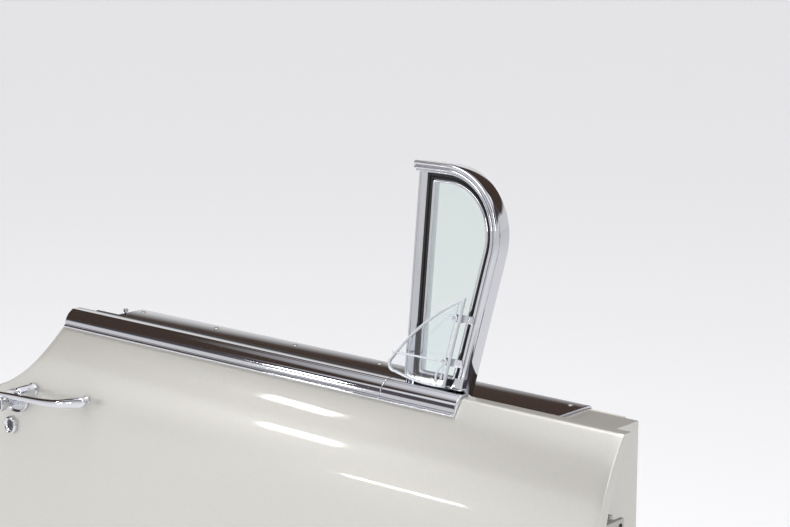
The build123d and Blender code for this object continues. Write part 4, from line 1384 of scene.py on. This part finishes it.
# Lock knob
# A turned and chromed brass knob, screwed on the end of the lock's rod, which comes up through a
# ferrule in the garnish.
knob_at = (slot_rear_x + 0.036, belt_y + 0.052, garnish_top + 0.0001)
knob_profile = [  # radius, height above the garnish
    (0.0044, 0.0), (0.0044, 0.0008), (0.0036, 0.0015), (0.0026, 0.0017), (0.0025, 0.0040),
    (0.0028, 0.0085), (0.0027, 0.0118), (0.0034, 0.0124), (0.0042, 0.0134), (0.0042, 0.0156),
    (0.0038, 0.0166), (0.0028, 0.0171), (0.0, 0.0172),
]
knob_shape = turned(knob_profile, knob_at, (0, 0, 1))
knob = add_piece("lock_pull", knob_shape, polished_chrome, smooth=40)
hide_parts("lock_knob")

# Armrest
# A moulded base screwed to the door, and on it a firm foam pad covered in cream vinyl. The cover's
# top is sewn to its side with a piped seam.
rest_y = trim_face_y + 0.0003
pad_low_x, pad_high_x = rear_x + 0.310, -0.420
pad_top_z, pad_t, pad_depth, pad_corner = -0.048, 0.032, 0.062, 0.030
pad_foot_z = pad_top_z - pad_t
base_inset, base_corner, base_lean = 0.010, 0.024, tan(radians(14.0))
base_edge, base_side, base_roll = 0.0008, 0.0270, 0.0030
pipe_r, pipe_z, pipe_inset = 0.0019, pad_foot_z + 0.0256, 0.0036
long_run = 70
pad_profile = [  # inwards, height above the pad's foot
    (0.0090, 0.0), (0.0050, 0.0002), (0.0022, 0.0014), (0.0006, 0.0040), (0.0, 0.0090),
    (0.0001, 0.0150), (0.0006, 0.0200), (0.0016, 0.0232), (0.0030, 0.0250), (0.0042, 0.0253),
    (0.0056, 0.0262), (0.0078, 0.0280), (0.0108, 0.0296), (0.0150, 0.0308), (0.0200, 0.0315),
    (0.0250, 0.0319),
]


def rest_plan(inset, low_x, high_x, depth, corner):
    """The armrest's outline seen from above, drawn in by inset at its ends and its free edge: from
    the trim round to the trim, and back along it."""
    a, b, out, r = low_x + inset, high_x - inset, rest_y + depth - inset, corner - inset
    return [
        *straight((a, rest_y), (a, out - r), 4)[:-1],
        *arc_from((a, out - r), (0, 1), (a + r, out), 12)[:-1],
        *straight((a + r, out), (b - r, out), long_run)[:-1],
        *arc_from((b - r, out), (1, 0), (b, out - r), 12)[:-1],
        *straight((b, out - r), (b, rest_y), 4)[:-1],
        *straight((b, rest_y), (a, rest_y), long_run)[:-1],
    ]


def pad_line(inset):
    """The pad's outline without the run along the trim."""
    return rest_plan(inset, *pad_shape)[:1 - long_run]


pad_shape = (pad_low_x, pad_high_x, pad_depth, pad_corner)
rings = []
for inset, up in pad_profile:
    rings.append([])
    for x, y in rest_plan(inset, *pad_shape):
        soft = abs(noise.noise(Vector((x / 0.035, y / 0.02, up / 0.02)))) * 0.0006 * min(1, up / 0.02)
        rings[-1].append((x, max(rest_y, y - soft), pad_foot_z + up - soft))
pad = add_piece("armrest_cushion", lofted(rings), cream_vinyl, smooth=60)
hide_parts("armrest_pad")
piping = add_piece("armrest_piping", band([
    [(x, y, pipe_z + pipe_r * up) for x, y in shifted(pad_line(pipe_inset), pipe_r * across, False)]
    for across, up in circle(10)
], False), cream_vinyl, smooth=60)
stitches, travelled = [], 0.0
side_line = [Vector(point) for point in pad_line(0.0003)]
for a, b in zip(side_line, side_line[1:]):
    along = (b - a).normalized()
    while travelled < (b - a).length:
        spot = a + along * travelled
        if spot.y > rest_y + 0.004:
            out_of = (-along.y, along.x, 0)
            stitches.append(stitch((*spot, pipe_z - 0.0052), (*along, 0), out_of))
        travelled += stitch_pitch
    travelled -= (b - a).length
pad_thread = add_piece("armrest_thread", joined(*stitches), cream_vinyl, smooth=60)
base_shape = (
    pad_low_x + base_inset, pad_high_x - base_inset, pad_depth - base_inset, base_corner
)
base_profile = [
    (base_edge, 0.0), (0.0, base_edge),
    *((base_lean * down, down) for down in evenly(base_edge, base_side, 4)[1:]),
    *(
        (base_lean * base_side + base_roll * (1 - cos(turn)), base_side + base_roll * sin(turn))
        for turn in evenly(0, pi / 2, 4)[1:]
    ),
]
base = add_piece("armrest_bracket", lofted([
    [(x, y, pad_foot_z - 0.0003 - down) for x, y in rest_plan(inset, *base_shape)]
    for inset, down in base_profile
]), cream_vinyl, smooth=45)
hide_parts("armrest_base")

# Switch plate
# An insert moulded in dark plastic, with fine ribs along it, in a bright rim pressed from sheet
# steel. It is clipped to the cream trim.
dark_plastic = finish(
    "dark_plastic", (0.035, 0.031, 0.028), 0.24, (60.0, 0.25, 0.10), Coat_Weight=0.4
)
switch_low, switch_high, switch_corner, switch_t = (-0.455, 0.066), (-0.230, 0.092), 0.006, 0.004
rim_w, insert_inset, insert_t = 0.0032, 0.0028, 0.0012
flute_pitch, flute_t, flute_steps = 0.0030, 0.0014, 6
rim_outline = wound(box_outline(switch_low, switch_high, switch_corner, 8))
rim_section = [
    (0.0, 0.0), (0.0, switch_t - 0.0014),
    *arc_through((0.0, switch_t - 0.0012), (rim_w / 2, switch_t), (rim_w, switch_t - 0.0014), 8),
    (rim_w, 0.0),
]
rim_shape = trim_frame(rim_outline, rim_section, rest_y)
switch_rim = add_piece("switch_rim", rim_shape, polished_chrome, smooth=45)
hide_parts("switch_plate")
low_z, high_z = switch_low[1] + insert_inset, switch_high[1] - insert_inset
flute_count = round((high_z - low_z) / flute_pitch)
insert_section = [(rest_y + 0.0002, low_z), (rest_y + 0.0002, high_z)]
for i, z in enumerate(evenly(high_z, low_z, flute_count * flute_steps)):
    rise = insert_t + flute_t * abs(sin(pi * i / flute_steps))
    insert_section.append((rest_y + rise, z))
insert = add_piece("ribbed_insert", rod(
    insert_section, switch_low[0] + insert_inset, switch_high[0] - insert_inset, 0.0002
), dark_plastic, smooth=50)

# Inner door handle
# A chromed die-cast lever on a round stepped foot, pinned to the latch's spindle. It tapers and
# bows inwards to a rounded tip.
lever_x, lever_z = -0.250, -0.020
lever_gap, lever_t, lever_tip = 0.022, 0.009, 0.0068
lever_foot_r, lever_foot_t, lever_hub_r = 0.022, 0.006, 0.012
lever_table = [  # distance from the hub, towards the cabin, height, thickness
    (0.0, 0.0232, 0.0120, 0.0078), (0.030, 0.0220, 0.0125, 0.0070),
    (0.070, 0.0226, 0.0150, 0.0066), (0.101, 0.0246, 0.0142, 0.0070),
]
lever_profile = [
    *near(
        lever_foot_r, 0.0, (0.0, 0.0), (0.0, 0.0014), (-0.0006, 0.0022), (-0.0030, 0.0028),
        (-0.0036, 0.0040), (-0.0048, 0.0050),
    ),
    *near(lever_hub_r, lever_foot_t, (0.0010, 0.0), (-0.0016, 0.0014)),
    *near(lever_hub_r, lever_gap, (-0.0024, -0.0030), (-0.0012, -0.0010), (-0.0004, 0.0)),
    *near(
        lever_hub_r, lever_gap + lever_t, (-0.0004, -0.0030), (-0.0012, -0.0014), (-0.0036, -0.0003)
    ),
    (0.0, lever_gap + lever_t),
]
lever_end = lever_table[-1][0]
stations = [(at, 1.0) for at in evenly(0, lever_end - lever_tip, 40)[:-1]]
stations += [
    (lever_end - lever_tip * (1 - sin(a)), max(cos(a), 0.03)) for a in evenly(0, pi / 2, 11)
]
rings = []
for at, share in stations:
    out, tall, thick = eased(lever_table, at)[1:]
    rings.append([(
        lever_x - at, rest_y + out + thick / 2 * (1 + x * min(1, share * 1.3)),
        lever_z + tall / 2 * y * share,
    ) for x, y in circle(24)])
lever = add_piece("inner_lever", joined(
    lofted(rings), turned(lever_profile, (lever_x, rest_y, lever_z), (0, 1, 0), 56)
), polished_chrome, smooth=45)
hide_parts("inner_handle")

# Floor and light
# A plain pale studio floor under a pale surround, with a bright ceiling. A dark brown panel hangs
# high at the left, for the bright parts to reflect, and soft boxes light the door.
floor_z, floor_reach = bottom_z - 0.002, 60.0
pale_floor = finish("pale_floor", (0.86, 0.86, 0.855), 0.75)
tree = pale_floor.node_tree
rays = put(tree, "ShaderNodeLightPath").outputs
bounced = maths(tree, "MAXIMUM", rays["Is Glossy Ray"], rays["Is Transmission Ray"])
seen = maths(tree, "MAXIMUM", rays["Is Camera Ray"], bounced)
strength = maths(tree, "MULTIPLY", seen, 0.18)
glow = put(tree, "ShaderNodeEmission", {"Color": (0.86, 0.86, 0.86, 1), "Strength": strength})
plain = tree.nodes["Principled BSDF"].outputs["BSDF"]
both = put(tree, "ShaderNodeAddShader", {0: plain, 1: glow.outputs[0]}).outputs[0]
tree.links.new(both, tree.nodes["Material Output"].inputs["Surface"])
mesh = bpy.data.meshes.new("floor")
corners = ((-1, -1), (1, -1), (1, 1), (-1, 1))
mesh.from_pydata([(floor_reach * x, floor_reach * y, floor_z) for x, y in corners], [], [(0, 1, 2, 3)])
mesh.materials.append(pale_floor)
floor = bpy.data.objects.new("floor", mesh)
bpy.context.scene.collection.objects.link(floor)

pale, ceiling = (0.84, 0.84, 0.85), (1.10, 1.11, 1.16)
brown, dusk = (0.075, 0.052, 0.042), (0.10, 0.09, 0.10)
world = bpy.data.worlds.new("studio")
bpy.context.scene.world = world
world.use_nodes = True
tree = world.node_tree
aim = put(tree, "ShaderNodeTexCoord").outputs["Generated"]
axes = put(tree, "ShaderNodeSeparateXYZ", {0: aim}).outputs


def surround(wall, *rises):
    """A colour by the height of a ray: pale, then a wall, then the ceiling, with soft edges."""
    reader = put(tree, "ShaderNodeValToRGB", {0: axes["Z"]})
    elements = reader.color_ramp.elements
    while len(elements) < 6:
        elements.new(0.5)
    colours = (pale, pale, wall, wall, ceiling, ceiling)
    for element, position, colour in zip(elements, (0.0, *rises, 1.0), colours):
        element.position = position
        element.color = (*colour, 1)
    return reader.outputs["Color"]


open_side = surround(dusk, 0.20, 0.26, 0.48, 0.55)
panel_side = surround(brown, 0.18, 0.23, 0.70, 0.80)
sideways = maths(
    tree, "ADD", maths(tree, "MULTIPLY", axes["X"], -0.80), maths(tree, "MULTIPLY", axes["Y"], 0.60)
)
level_part = maths(tree, "SUBTRACT", 1.0, maths(tree, "MULTIPLY", axes["Z"], axes["Z"]))
level_part = maths(tree, "SQRT", maths(tree, "MAXIMUM", level_part, 0.0001))
bearing = maths(tree, "DIVIDE", sideways, level_part)
bounds = {"From Min": 0.245, "From Max": 0.30, "To Min": 0.0, "To Max": 1.0}
panel = put(tree, "ShaderNodeMapRange", {"Value": bearing, **bounds}).outputs[0]
mixed = put(
    tree, "ShaderNodeMix", {"Factor": panel, "A": open_side, "B": panel_side}, data_type="RGBA"
)
tree.links.new(mixed.outputs["Result"], tree.nodes["Background"].inputs["Color"])
tree.nodes["Background"].inputs["Strength"].default_value = 1.0
soft_boxes = [  # name, place, aim, size, power
    ("overhead", (-0.6, -1.0, 2.8), (-0.6, 0.0, 0.0), (2.4, 1.2), 38),
    ("front", (2.4, -2.4, 1.8), (-0.4, 0.0, 0.1), (1.0, 1.4), 25),
    ("upper_strip", (-3.20, -2.70, 1.52), (-0.52, -0.06, 0.12), (0.25, 0.16), 4.5),
    ("lower_strip", (-3.15, -2.98, 0.70), (-0.51, -0.07, 0.08), (0.26, 0.15), 4),
    ("low_strip", (-2.02, -2.25, -0.10), (-0.42, -0.07, -0.08), (0.34, 0.035), 1.2),
]
for name, place, aim, size, power in soft_boxes:
    lamp = bpy.data.lights.new(name, "AREA")
    lamp.shape = "RECTANGLE"
    lamp.size, lamp.size_y = size
    lamp.energy = power
    holder = bpy.data.objects.new(name, lamp)
    holder.location = place
    holder.rotation_euler = (Vector(aim) - Vector(place)).to_track_quat("-Z", "Y").to_euler()
    bpy.context.scene.collection.objects.link(holder)

# Camera
# It stands where the photograph was taken from: ahead of the door and out to its side, 0.9 m
# above the upper hinge.
sensor_mm, focal_pixels, photo_pixels = 36.0, 1970.0, 790.0
heading, pitch = radians(41.0), radians(-11.4)
camera_data = bpy.data.cameras.new("camera")
camera_data.sensor_width = sensor_mm
camera_data.lens = sensor_mm * focal_pixels / photo_pixels
camera_data.clip_end = 100.0
camera = bpy.data.objects.new("camera", camera_data)
bpy.context.scene.collection.objects.link(camera)
camera.location = (1.415, -2.069, 0.890)
view = Vector((-sin(heading) * cos(pitch), cos(heading) * cos(pitch), sin(pitch)))
camera.rotation_euler = view.to_track_quat("-Z", "Y").to_euler()
bpy.context.scene.camera = camera
bpy.context.scene.view_settings.view_transform = "Standard"
